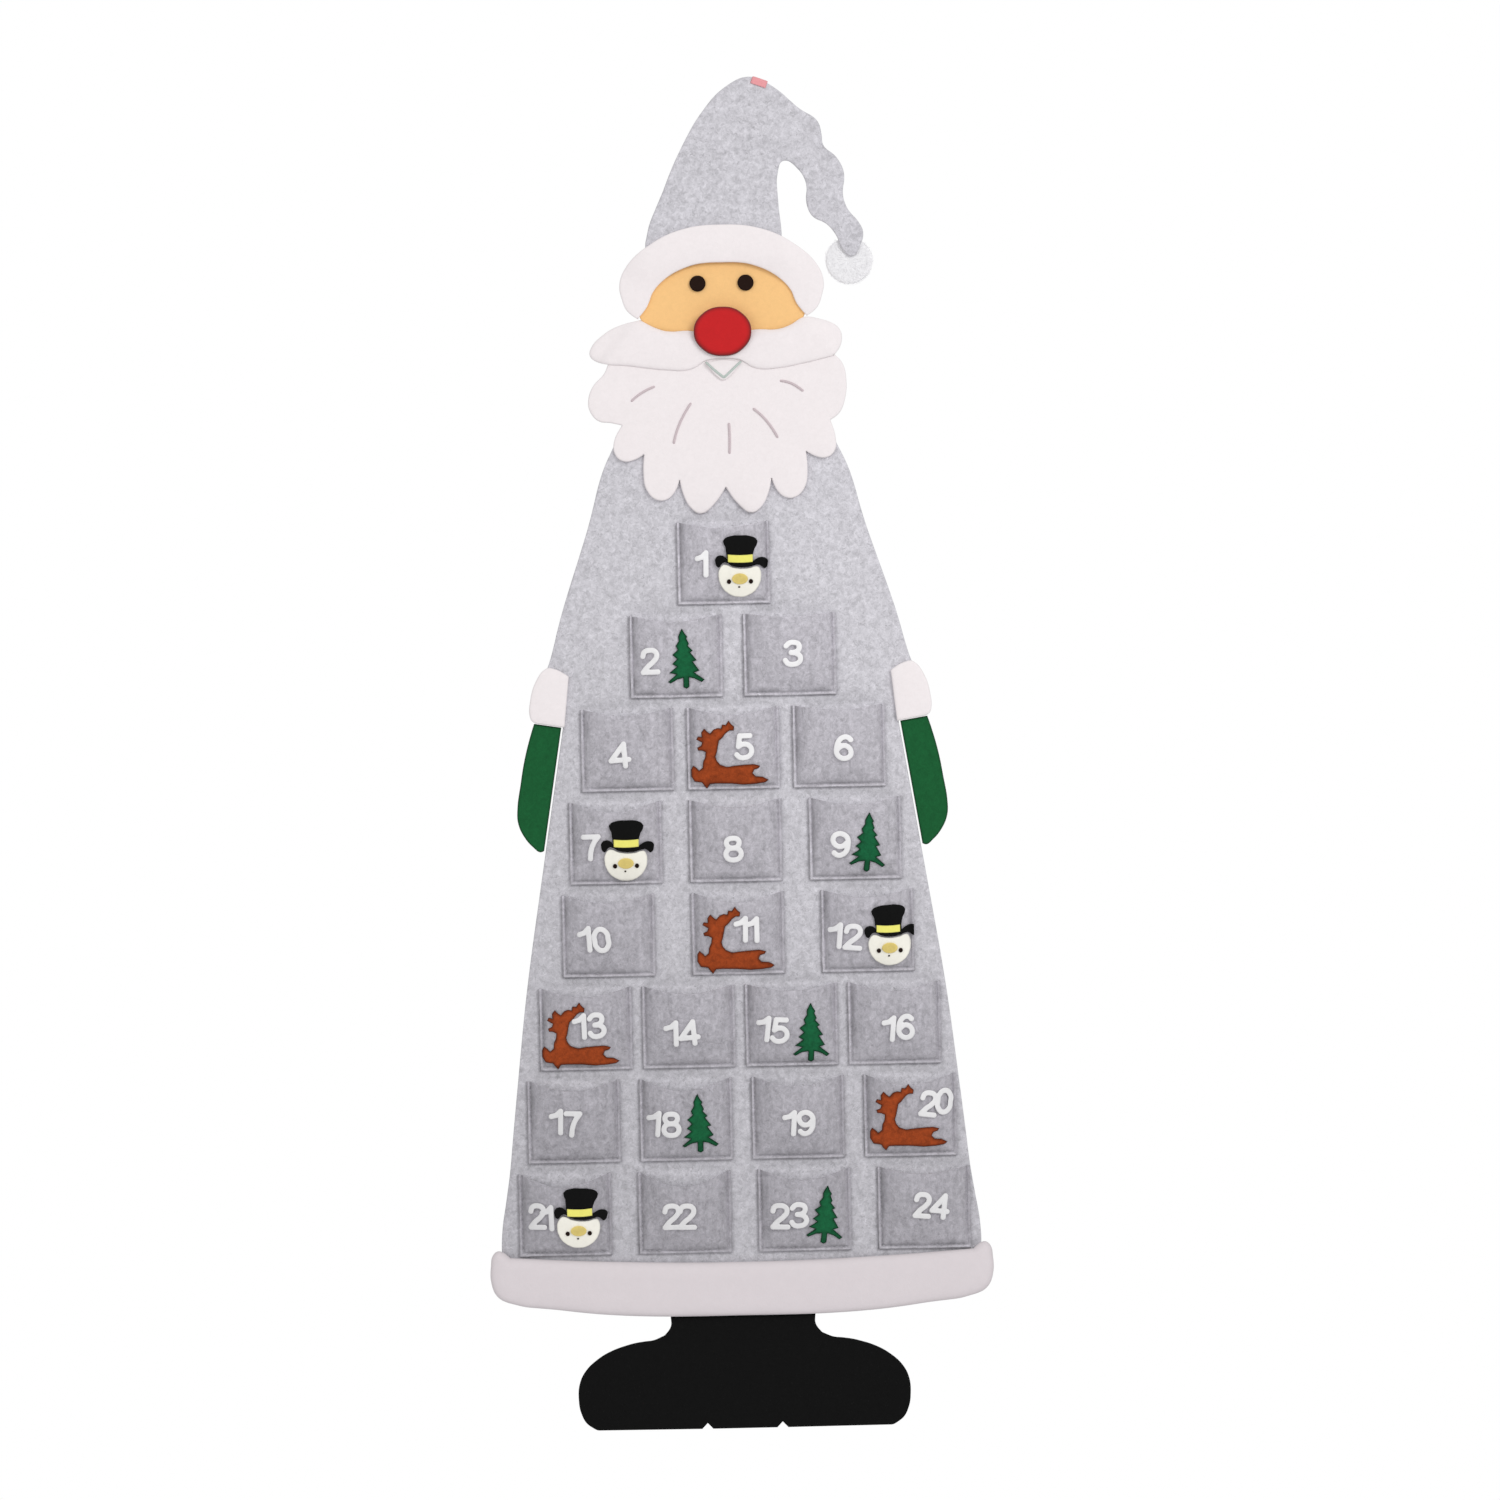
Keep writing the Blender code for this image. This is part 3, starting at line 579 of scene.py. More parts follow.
def edge_distance(points, loops):
    """Distance of each point from the nearest outline."""
    def measure(part, starts, run):
        away = part[:, None] - starts
        along = np.clip((away * run).sum(2)
                        / np.maximum((run ** 2).sum(1), 1e-16), 0, 1)
        away = away - along[..., None] * run
        return np.sqrt((away ** 2).sum(2).min(1))
    return in_parts(points, loops, measure)


def inside(points, loops):
    """Which points lie in the felt, with the holes left out."""
    def measure(part, starts, run):
        x, z = part[:, 0, None], part[:, 1, None]
        ends = starts + run
        spans = (starts[:, 1] > z) != (ends[:, 1] > z)
        rise = np.where(run[:, 1] == 0, 1e-12, run[:, 1])
        return (spans & (x < starts[:, 0] + (z - starts[:, 1])
                         * run[:, 0] / rise)).sum(1) % 2 == 1
    return in_parts(points, loops, measure)


def doubled_areas(points, faces):
    """Twice each triangle's area, below zero where it runs clockwise."""
    first, second, third = (points[faces[:, column]] for column in range(3))
    return ((second - first)[:, 0] * (third - first)[:, 1]
            - (second - first)[:, 1] * (third - first)[:, 0])


def filled(loops, spacing, rows, extra=()):
    """Points and triangles that fill outlines, in rows along the edge.

    Inside the rows the points lie in a grid, and more may be given.
    """
    rim = np.concatenate(loops)
    edges, first = [], 0
    for loop in loops:
        count = len(loop)
        edges += [(first + index, first + (index + 1) % count)
                  for index in range(count)]
        first += count
    picks = []
    for distance in rows:
        for loop in loops:
            ahead = np.roll(loop, -1, 0) - np.roll(loop, 1, 0)
            ahead /= np.maximum(np.hypot(*ahead.T), 1e-9)[:, None]
            across = np.stack([-ahead[:, 1], ahead[:, 0]], 1)
            for side in (distance, -distance):
                trial = loop + across * side
                keep = edge_distance(trial, loops) > distance * 0.97
                picks.append(trial[keep & inside(trial, loops)])
    low, high = rim.min(0), rim.max(0)
    columns = np.arange(low[0], high[0], spacing)
    levels = np.arange(low[1], high[1], spacing * ROW_SHARE)
    x, z = np.meshgrid(columns, levels)
    x[1::2] += spacing / 2
    grid = np.stack([x.ravel(), z.ravel()], 1)
    picks += [part[inside(part, loops)] for part in extra]
    grid = grid[edge_distance(grid, loops) > rows[-1] + spacing * 0.55]
    picks.append(grid[inside(grid, loops)])
    inner = np.concatenate(picks)
    if len(inner):
        apart = edge_distance(inner, loops)
        cell = np.minimum(spacing, 0.0005 + apart * 0.3) * 0.45
        key = np.round(inner / cell[:, None]).astype(int)
        key = np.column_stack([key, np.round(np.log2(cell * 1e5))])
        inner = inner[np.sort(np.unique(key, axis=0, return_index=True)[1])]
    points = np.concatenate([rim, inner]) * 1000
    placed, _, faces, *_ = delaunay_2d_cdt(
        [Vector(point) for point in points], edges, [], 0, 0.0001)
    placed = np.array([tuple(point) for point in placed]) / 1000
    faces = np.array([face for face in faces if len(face) == 3])
    corners = placed[faces]
    faces = faces[inside(corners.mean(1), loops)]
    doubled = doubled_areas(placed, faces)
    faces = np.where((doubled < 0)[:, None], faces[:, ::-1], faces)
    faces = faces[np.abs(doubled) > 1e-13]
    used = np.unique(faces)
    order = np.zeros(len(placed), int)
    order[used] = np.arange(len(used))
    return placed[used], order[faces]


def new_mesh(name, points, faces, **values):
    """A smooth mesh, with the values that its points carry."""
    mesh = bpy.data.meshes.new(name)
    mesh.from_pydata([tuple(point) for point in points], [],
                     [tuple(int(index) for index in face) for face in faces])
    mesh.validate()
    mesh.shade_smooth()
    for key, value in values.items():
        add_values(mesh, key, value)
    return mesh


def facing_out(mesh):
    """Turn every face of a closed mesh outward."""
    work = bmesh.new()
    work.from_mesh(mesh)
    bmesh.ops.recalc_face_normals(work, faces=work.faces)
    work.to_mesh(mesh)
    work.free()


def add_values(mesh, key, value):
    """Give every point of a mesh a value that its material reads."""
    layer = mesh.attributes.new(key, "FLOAT", "POINT")
    layer.data.foreach_set("value", np.asarray(value, np.float32))


def place_piece(name, mesh, finish, body, replaces=()):
    """Put a finished mesh in the scene as a piece of the calendar."""
    piece = bpy.data.objects.new(name, mesh)
    bpy.context.scene.collection.objects.link(piece)
    mesh.materials.clear()
    mesh.materials.append(finish_for(finish))
    if body:
        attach(piece, body)
    if replaces:
        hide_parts(*replaces)
    return piece


def both_sides(name, loops, back, thickness, spacing, rows, rounding,
               rim_share=0.5, relief=None, bend=None, extra=()):
    """Felt with a front, a back and a soft cut edge between them."""
    points, faces = filled(loops, spacing, rows, extra)
    gap = edge_distance(points, loops)
    rim = gap < 1e-6
    x, z = points.T
    swell = rounded(np.clip(gap / rounding, 0, 1))
    rear_plane = bend(x, z) if bend else np.full(len(x), back)
    middle = rear_plane - rim_share * thickness
    lift = relief(x, z, gap) if relief else 0.0
    drift = wave(x, z)
    front = middle - (1 - rim_share) * thickness * swell - lift - drift
    rear = middle + rim_share * thickness * swell - drift
    order = np.full(len(points), -1)
    order[~rim] = np.arange((~rim).sum()) + len(points)
    order[rim] = np.flatnonzero(rim)
    shell = np.concatenate([
        np.stack([x, np.where(rim, middle - drift, front), z], 1),
        np.stack([x[~rim], rear[~rim], z[~rim]], 1)])
    surface = np.concatenate([faces, order[faces][:, ::-1]])
    mesh = new_mesh(name, shell, surface,
                    edge=np.concatenate([gap, gap[~rim]]))
    area = float(np.abs(doubled_areas(points, faces)).sum() / 2)
    return mesh, area, points


def declare_sheet(points, area):
    """Work out a flat piece's size and area from its outline; the result is not kept."""
    spread = points.max(0) - points.min(0)
    flat = [max(0.0101, float(side)) for side in spread]
    min(max(area, 0.301 * flat[0] * flat[1]),
                      flat[0] * flat[1])


def felt_piece(name, node, finish, body, spacing=0.004, fine=0.0013,
               rounding=None, relief=None, bend=None, padded=None,
               rim_share=0.5, rows=(0.15, 0.45, 1.0, 2.0, 3.6), extra=(),
               thicker=0.0, ride=True):
    """Dress a CAD node as felt cut to the node's own outline."""
    low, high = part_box(node)
    loops = [smoothed(loop, fine) for loop in outlines(node)]
    rounding = rounding or sizes().rounding
    rows = [row * 0.001 for row in rows]
    mesh, area, points = both_sides(
        name, loops, high.y, high.y - low.y + thicker, spacing, rows,
        rounding, rim_share, relief, bend, extra)
    piece = place_piece(name, mesh, finish, body if ride else None, (node,))
    if padded is None:
        declare_sheet(points, area)
    return piece


def front_of(node):
    """The y of a node's front face."""
    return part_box(node)[0].y


def resting(base, node, reach):
    """Rear plane of felt that rests on a base and on a node before it."""
    loops = [smoothed(loop, 0.002) for loop in outlines(node)]
    front = front_of(node) - SEWN_GAP

    def rear(x, z):
        points = np.stack([x, z], 1)
        out = np.where(inside(points, loops), 0, edge_distance(points, loops))
        share = 1 - np.clip(out / reach, 0, 1)
        share = share * share * (3 - 2 * share)
        return base + (min(front, base) - base) * share
    return rear


def soft_puff(height, reach):
    """Padding that rises away from the edge."""
    def relief(x, z, gap):
        return height * (1 - np.exp(-gap / reach))
    return relief


# How far each mouth dips, in shares of a usual mouth's dip.
SAG_SHARES = [
    0.86, 0.79, 0.50, 0.86, 1.00, 0.64, 1.21, 0.93, 0.86, 0.93, 1.14, 0.86,
    1.00, 0.86, 0.71, 1.00, 1.07, 1.29, 1.00, 1.14, 1.36, 1.57, 1.14, 0.71,
]


class PocketShape:
    """The surface of one sewn-on pocket."""

    def __init__(self, node):
        low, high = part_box(node)
        index = POCKETS.index(node)
        draw = np.random.default_rng(100 + index)
        self.middle = (low.x + high.x) / 2
        self.foot = low.z
        self.width = high.x - low.x
        self.height = high.z - low.z
        self.back = high.y
        self.sag = sizes().sag * SAG_SHARES[index]
        self.puff = sizes().mouth * draw.uniform(1.0, 1.06)
        self.ribs = draw.uniform(0, 2 * pi, 4)
        self.pull = draw.uniform(-0.5, 0.5)
        # How strong the painted seam shade is on the left side, the right side and the foot.
        self.seam_shades = (draw.uniform(0.9, 1.4), draw.uniform(0.15, 0.5),
                      draw.uniform(0.7, 1.2))

    def side(self, x):
        """Distance from the nearer side edge, below zero outside."""
        return self.width / 2 - np.abs(x - self.middle)

    def drop(self, x):
        """How far the mouth has sagged at x."""
        across = np.clip((x - self.middle) / self.width + 0.5, 0, 1)
        return self.sag * np.sin(pi * across) ** SAG_POWER

    def level(self, x, up):
        """The z of a share of the pocket's height, with its sag."""
        return self.foot + up * (self.height - self.drop(x))

    def share(self, x, z):
        """The share of the pocket's height at x and z."""
        return (z - self.foot) / (self.height - self.drop(x))

    def rear(self, x, up):
        """The inner face's y."""
        seam = sizes().seam_inset
        side = self.side(x)
        rise = np.clip((up * self.height - seam) / (self.height - seam), 0, 1)
        inner = np.clip((side - seam) / (self.width / 2 - seam), 0, 1)
        arch = 1 - (1 - np.sin(pi / 2 * inner)) ** 2
        climb = 1 - (1 - rise) ** 2.2
        place = (x - self.middle) / self.width
        ribs = (np.sin(2 * pi * 5.3 * place + self.ribs[0])
                + 0.6 * np.sin(2 * pi * 9.1 * place + 3 * up + self.ribs[1])
                + 0.5 * np.sin(2 * pi * 3.1 * up + 4 * place + self.ribs[2]))
        bulge = self.puff * arch * climb * (1 + 0.10 * self.pull * place)
        edge = np.minimum(side, up * self.height)
        flare = 0.0006 * np.clip(1 - edge / seam, 0, 1) ** 2
        flare *= np.clip((1 - up) * self.height / 0.004, 0, 1)
        return self.back - bulge - flare - 0.00028 * ribs * arch * climb

    def seam_depth(self, x, up):
        """How far the seam pulls the front face in."""
        seam = sizes().seam_inset
        edge = np.minimum(self.side(x), up * self.height)
        return 0.00095 * np.exp(-((edge - seam) / 0.0007) ** 2)

    def front(self, x, z):
        """The y of the front face at x and z."""
        up = self.share(x, z)
        return self.rear(x, up) - POCKET_FELT + self.seam_depth(x, up)


# Rows of a pocket's mesh near its edges, in millimetres from the edge.
CLOSE_ROWS = (0, 0.08, 0.3, 0.65, 1.1, 1.6, 2.05, 2.4, 2.75, 3.1, 3.5, 4.1,
              5.0, 6.2, 7.8, 9.6)


def even_rows(size):
    """Distances across a pocket, close together at its edges."""
    left = [row * 0.001 for row in CLOSE_ROWS]
    span = size - left[-1] * 2
    count = max(2, round(span / POCKET_MESH))
    rows = left + [left[-1] + span * index / count
                   for index in range(1, count + 1)]
    return np.array(rows + [size - row for row in reversed(left[:-1])])


def pocket_mesh(name, shape):
    """One pocket with its rounded cut edges, seam groove and open mouth."""
    across = even_rows(shape.width) - shape.width / 2 + shape.middle
    x, rise = np.meshgrid(across, even_rows(shape.height))
    up = rise / shape.height
    side = shape.side(x)
    edge = np.minimum(np.minimum(side, rise), shape.height - rise)
    swell = rounded(np.clip(edge / (sizes().rounding * 0.75), 0, 1))
    middle = shape.rear(x, up) - POCKET_FELT / 2
    z = shape.level(x, up)
    drift = wave(x, z)
    front = middle - POCKET_FELT / 2 * swell + shape.seam_depth(x, up)
    back = middle + POCKET_FELT / 2 * swell
    rows, columns = x.shape
    rim = np.zeros((rows, columns), bool)
    rim[[0, -1]] = True
    rim[:, [0, -1]] = True
    index = np.arange(rows * columns).reshape(rows, columns)
    second = np.where(rim, index, 0)
    second[~rim] = rows * columns + np.arange((~rim).sum())
    front = np.where(rim, middle, front)
    points = np.concatenate([
        np.stack([x.ravel(), (front - drift).ravel(), z.ravel()], 1),
        np.stack([x[~rim], (back - drift)[~rim], z[~rim]], 1)])
    faces = []
    for grid, order in ((index, (0, 1, 2, 3)), (second, (3, 2, 1, 0))):
        quads = np.stack([grid[:-1, :-1], grid[:-1, 1:], grid[1:, 1:],
                          grid[1:, :-1]], -1).reshape(-1, 4)
        faces.append(quads[:, order])
    sewn = np.minimum(side, rise)
    # Strength of the painted seam shade: strong on the left side and the foot, weak on the right
    # side, away from the light.
    pull = np.where(x < shape.middle, shape.seam_shades[0], shape.seam_shades[1])
    pull = np.where(rise < side, shape.seam_shades[2], pull)
    return new_mesh(name, points, np.concatenate(faces),
                    edge=np.concatenate([sewn.ravel(), sewn[~rim]]),
                    pull=np.concatenate([pull.ravel(), pull[~rim]]))


def resampled(path, pitch):
    """Even points along a path, with the path's direction at each."""
    step = np.diff(path, axis=0)
    reach = np.concatenate([[0], np.cumsum(np.hypot(*step.T))])
    count = max(1, int(reach[-1] / pitch))
    places = (np.arange(count) + 0.5) * reach[-1] / count
    at = np.stack([np.interp(places, reach, path[:, column])
                   for column in range(2)], 1)
    ahead = np.stack([np.interp(places + pitch * 0.3, reach, path[:, column])
                      for column in range(2)], 1)
    behind = np.stack([np.interp(places - pitch * 0.3, reach,
                                 path[:, column])
                       for column in range(2)], 1)
    aim = ahead - behind
    return at, aim / np.maximum(np.hypot(*aim.T), 1e-9)[:, None]


def model_stitch(size, thread):
    """One stitch as points and faces: a thread that dips at both ends."""
    bpy.ops.mesh.primitive_uv_sphere_add(
        segments=6, ring_count=6, radius=0.5, location=(0, 0, 0),
        rotation=(0, pi / 2, 0))
    ball = bpy.context.object
    bpy.ops.object.transform_apply(location=True, rotation=True, scale=True)
    points = np.array([tuple(vert.co) for vert in ball.data.vertices])
    faces = [tuple(face.vertices) for face in ball.data.polygons]
    bpy.data.objects.remove(ball, do_unlink=True)
    end = np.abs(points[:, 0]) * 2
    off = np.hypot(points[:, 1], points[:, 2])
    girth = thread * np.where(end < 0.99, (1 - end ** 4) ** 0.25, 0) * (
        1 / np.maximum(off, 1e-6))
    girth = np.where(off < 1e-6, 0, girth)
    made = np.stack([points[:, 0] * size, points[:, 1] * girth * 0.42,
                     points[:, 2] * girth * 0.5], 1)
    made[:, 1] += thread * 0.75 * end ** 3 - thread * 0.12
    return made, faces


def stitch_mesh(name, paths, surface, size=None, space=None, thread=None,
                outward=-1):
    """A row of stitches along every path, on a surface that faces outward.

    Each path has a key, which the surface takes together with x and z.
    """
    size = size or sizes().stitch
    space = sizes().stitch_space if space is None else space
    thread = thread or sizes().thread
    template, faces = model_stitch(size, thread)
    points, made = [], []
    along, deep, aside = template.T
    for key, path in paths:
        for (x, z), (ax, az) in zip(*resampled(path, size + space)):
            line = surface(key, x + along * ax, z + along * az)
            made += [tuple(index + len(points) * len(template)
                           for index in face) for face in faces]
            points.append(np.stack([
                x + along * ax - aside * az, line - outward * deep,
                z + along * az + aside * ax], 1))
    return new_mesh(name, np.concatenate(points), made)


def seam_path(shape, inset, below=0.0012):
    """A pocket's three sides, from just below its mouth and back to it."""
    left = shape.middle - shape.width / 2 + inset
    right = shape.middle + shape.width / 2 - inset
    top = shape.foot + shape.height - below
    foot = shape.foot + inset
    return np.array([(left, top), (left, foot), (right, foot), (right, top)])


def on_pocket(number, lift):
    """Back surface, for felt laid on a pocket."""
    shape = PocketShape(f"pocket_{number:02d}")

    def rear(x, z):
        return shape.front(x, z) - lift
    return rear


def deselect():
    """Leave edit mode and deselect everything."""
    if bpy.context.object and bpy.context.object.mode != "OBJECT":
        bpy.ops.object.mode_set(mode="OBJECT")
    bpy.ops.object.select_all(action="DESELECT")


class CalendarOperator(bpy.types.Operator):
    """Shared start of every operator of the calendar."""

    bl_options = {"REGISTER", "UNDO"}

    def execute(self, context):
        deselect()
        self.make()
        return {"FINISHED"}


class CALENDAR_OT_gown(CalendarOperator):
    """Cut the gown panel with its sleeve ends"""

    bl_idname = "calendar.gown"
    bl_label = "Gown"

    def make(self):
        seams = []
        shapes = [PocketShape(node) for node in POCKETS]
        for shape in shapes:
            seams += [resampled(seam_path(shape, -out, 0), 0.0028)[0]
                      for out in (0.0008, 0.0025, 0.005)]
            x, z = np.meshgrid(
                np.linspace(-0.48, 0.48, 27) * shape.width + shape.middle,
                shape.foot + shape.height
                + np.linspace(-shape.sag - 0.004, 0.0030, 8))
            seams.append(np.stack([x.ravel(), z.ravel()], 1))

        def relief(x, z, gap):
            puff = np.zeros(len(x))
            for shape in shapes:
                below = shape.foot - z
                above = z - shape.foot - shape.height
                out = np.maximum(np.maximum(-shape.side(x), below), above)
                pleat = np.sin(x * 700 + 1.3) + np.sin(z * 760 + 0.4)
                puff += (np.where(above > 0, 0.3, 1.0) * np.where(
                    out > 0, 0.00011 * pleat * np.exp(-out / 0.004)
                    - 0.00035 * np.exp(-(out / 0.0016) ** 2), 0))
            return puff + 0.00012 * np.sin(x * 95 + z * 40) * np.sin(z * 70)

        piece = felt_piece("gown", "gown_panel", "gown_felt", "calendar",
                           spacing=0.0048, fine=0.0016,
                           relief=relief, extra=[np.concatenate(seams)])
        x, y, z = np.array([tuple(vert.co)
                            for vert in piece.data.vertices]).T
        low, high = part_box("gown_panel")
        in_front = y < (low.y + high.y) / 2
        # Painted light: the gown that shows above each pocket's sagging mouth, on the front
        # only, is marked to be made paler.
        mouth_light = np.zeros(len(x))
        for shape in shapes:
            lowest = shape.level(x, 1.0) - 0.003
            over = shape.foot + shape.height + 0.0025 - z
            mouth_light += (in_front * np.clip((shape.side(x) - 0.002) / 0.004, 0, 1)
                     * np.clip((z - lowest) / 0.002, 0, 1)
                     * np.clip(over / 0.004, 0, 1))
        add_values(piece.data, "mouth_light", mouth_light)


class CALENDAR_OT_hem(CalendarOperator):
    """Make the soft padded band along the hem"""

    bl_idname = "calendar.hem"
    bl_label = "Hem band"

    def make(self):
        def relief(x, z, gap):
            lumps = (np.sin(x * 46 + 0.7) * np.sin(z * 61 + x * 17)
                     + 0.5 * np.sin(x * 120 + 2.0))
            return 0.0002 * lumps * np.clip(gap / 0.006, 0, 1)
        felt_piece("hem", "hem_band", "hem_cloth", "calendar",
                   spacing=0.0035, rounding=0.0135, relief=relief,
                   padded=0.45, rim_share=0.35,
                   rows=(0.1, 0.35, 0.8, 1.6, 2.8, 4.4, 6.4, 9.0))


class CALENDAR_OT_boots(CalendarOperator):
    """Cut the boots"""

    bl_idname = "calendar.boots"
    bl_label = "Boots"

    def make(self):
        piece = felt_piece("boots_felt", "boots", "boot_felt", None,
                           rounding=0.0014, ride=False)
        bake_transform(piece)


class CALENDAR_OT_sleeves(CalendarOperator):
    """Cut the cuffs and the mittens"""

    bl_idname = "calendar.sleeves"
    bl_label = "Cuffs and mittens"

    def make(self):
        for side in ("left", "right"):
            felt_piece(side + "_cuff_felt", side + "_cuff",
                       "white_felt_cloth", "calendar",
                       spacing=0.003, rounding=0.0018,
                       relief=soft_puff(0.0009, 0.005))
            piece = felt_piece(side + "_mitten_felt", side + "_mitten",
                               "mitten_felt", None,
                               spacing=0.003, rounding=0.0014,
                               relief=soft_puff(0.0004, 0.006), ride=False)
            joint = HINGES[side + "_mitten_bend"]
            down = Vector((0, 1, 0)).cross(Vector(joint["axis"]))
            if down.z > 0:
                down = -down
            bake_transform(piece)


class CALENDAR_OT_hat(CalendarOperator):
    """Cut the hat with its tail, its brim and the pompom"""

    bl_idname = "calendar.hat"
    bl_label = "Hat"

    def make(self):
        def folds(x, z, gap):
            tail = np.clip((x - 0.035) / 0.03, 0, 1)
            return (0.00035 * tail * np.sin(z * 210 + x * 120)
                    + 0.0003 * np.sin(x * 44 + 1) * np.sin(z * 38))
        felt_piece("hat_felt", "hat", "hat_cloth", "calendar",
                   spacing=0.0035, relief=folds)
        felt_piece("brim", "hat_brim", "white_felt_cloth", "calendar",
                   spacing=0.003, rounding=0.0018,
                   bend=resting(front_of("face") - SEWN_GAP, "hat", 0.024),
                   relief=soft_puff(0.0012, 0.010))
        felt_piece("pompom_felt", "pompom", "pompom_wool", "calendar",
                   spacing=0.0022, rounding=0.0060,
                   rows=(0.15, 0.45, 1.0, 2.0, 3.6, 5.6))
        self.tufts()

    def tufts(self):
        """Wool strands that cover the pompom and stand out round it."""
        low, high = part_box("pompom")
        radius = (high.x - low.x) / 2
        middle = np.array([low.x + radius, low.z + radius])
        depth, half = (low.y + high.y) / 2, (high.y - low.y) / 2
        draw = np.random.default_rng(7)
        count, stations, corners = 1700, 6, 3
        share = np.linspace(0, 1, stations)
        angle, level = draw.uniform(0, 1, (2, count, 1))
        inner = radius * draw.uniform(0, 0.97, (count, 1)) ** 0.5
        outer = inner + draw.uniform(0.0022, 0.0046, (count, 1))
        outer = np.minimum(outer,
                           radius * draw.uniform(1.0, 1.11, (count, 1)))
        reach = inner + (outer - inner) * share
        curl = draw.uniform(-0.3, 0.3, (count, 1))
        turn = 2 * pi * angle + curl * share ** 2
        centre = middle + reach[..., None] * np.stack(
            [np.cos(turn), np.sin(turn)], -1)
        tail = [smoothed(loop, 0.002) for loop in outlines("hat")]
        spots = centre.reshape(-1, 2)
        over = (inside(spots, tail)
                | (edge_distance(spots, tail) < 0.0006)).reshape(count, -1)
        near = np.clip((radius - reach) / 0.006, 0, 1)
        lift = half * rounded(near) + 0.0001 + 0.0005 * level * share
        front = np.arange(count) % 4 > 0
        ahead = np.where(front, -1, 1)[:, None]
        y = depth + ahead * np.where(front[:, None], lift, lift * 0.9)
        girth = 0.00026 * (1 - 0.7 * share ** 2)
        across, out = np.array([(-1, 0.3), (1, 0.3), (0, -0.3)]).T
        aside = np.stack([-np.sin(turn), np.cos(turn)], -1)
        spots = (centre[:, :, None] + aside[:, :, None]
                 * (girth[:, None] * across)[None, ..., None])
        y = y[..., None] + ahead[..., None] * (girth[:, None] * out)
        points = np.stack([spots[..., 0], y, spots[..., 1]], -1)
        points = points[~over.any(1)].reshape(-1, 3)
        ring = np.arange(corners)
        after = (ring + 1) % corners
        faces = []
        for base in range(0, len(points), stations * corners):
            for row in range(base, base + (stations - 1) * corners, corners):
                faces += zip(row + ring, row + corners + ring,
                             row + corners + after, row + after)
            faces.append(tuple(base + ring))
            faces.append(tuple(base + (stations - 1) * corners + ring[::-1]))
        mesh = new_mesh("pompom_tufts", points, faces)
        mesh.shade_flat()
        facing_out(mesh)
        place_piece("pompom_tufts", mesh, "fringe_wool", "calendar")


class CALENDAR_OT_loop(CalendarOperator):
    """Make the ribbon loop and the ribbon's turn over the hat's peak"""

    bl_idname = "calendar.loop"
    bl_label = "Ribbon loop"

    def make(self):
        felt_piece("ribbon_loop", "hanging_loop", "ribbon_cloth",
                   "hanging_loop", spacing=0.002, fine=0.0008,
                   rounding=0.0003, rows=(0.1, 0.3, 0.8))
        self.turn()

    def turn(self):
        """Ribbon folded over the peak and sewn down in front."""
        low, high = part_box("hat")
        half, thick = 0.0062, 0.0007
        place = Vector((0.0088, 0.0042))
        slope = radians(-20)
        path = [(low.y - 0.0006, -0.0038), (low.y - 0.0007, -0.0024),
                (low.y - 0.0007, -0.0005), (low.y - 0.0002, 0.0014),
                (low.y + 0.0014, 0.0022), (high.y - 0.0006, 0.0018),
                (high.y - 0.00005, 0.0006), (high.y + 0.00005, -0.0002)]
        path = np.array(path)
        fine = []
        for first, second in zip(path[:-1], path[1:]):
            fine += [first + (second - first) * t for t in (0, 0.5)]
        fine = np.array([*fine, path[-1]])
        for _ in range(2):
            fine[1:-1] = (fine[:-2] + 2 * fine[1:-1] + fine[2:]) / 4
        aim = np.gradient(fine, axis=0)
        aim /= np.hypot(*aim.T)[:, None]
        normal = np.stack([aim[:, 1], -aim[:, 0]], 1)
        points, faces = [], []
        columns = np.linspace(-half, half, 9)
        for side in (-0.5, 0.5):
            for (y, up), (ny, nz) in zip(fine, normal):
                for across in columns:
                    offset = side * thick
                    if abs(across) == half:
                        offset *= 0.3
                    local = Vector((across, up + nz * offset))
                    local.rotate(Matrix.Rotation(slope, 2))
                    points.append((place.x + local.x, y + ny * offset,
                                   place.y + local.y))
        rows, count = len(fine), len(columns)
        index = np.arange(2 * rows * count).reshape(2, rows, count)
        front, back = index
        for row in range(rows - 1):
            for column in range(count - 1):
                for grid, step in ((front, -1), (back, 1)):
                    quad = (grid[row, column], grid[row, column + 1],
                            grid[row + 1, column + 1], grid[row + 1, column])
                    faces.append(quad[::step])
        rims = [(front[:, column], back[:, column])
                for column in (0, count - 1)]
        rims += [(front[row], back[row]) for row in (0, rows - 1)]
        for near, far in rims:
            faces += zip(near, near[1:], far[1:], far)
        mesh = new_mesh("ribbon_turn", np.array(points), faces)
        facing_out(mesh)
        place_piece("ribbon_turn", mesh, "ribbon_cloth", "calendar")


class CALENDAR_OT_face(CalendarOperator):
    """Cut the face with its eyes and nose"""

    bl_idname = "calendar.face"
    bl_label = "Face"

    def make(self):
        felt_piece("face_felt", "face", "face_felt", "calendar",
                   spacing=0.0035)
        for side in ("left", "right"):
            felt_piece(side + "_eye_felt", side + "_eye", "eye_felt",
                       "calendar", spacing=0.0016, fine=0.0007,
                       rounding=0.0010, rows=(0.15, 0.4, 0.9, 1.6))
        felt_piece("nose_felt", "nose", "nose_felt", "calendar",
                   spacing=0.0022, fine=0.0010, rounding=0.0085, padded=0.6,
                   rim_share=0.3, thicker=0.0008,
                   rows=(0.1, 0.3, 0.7, 1.3, 2.2, 3.4, 5.0))


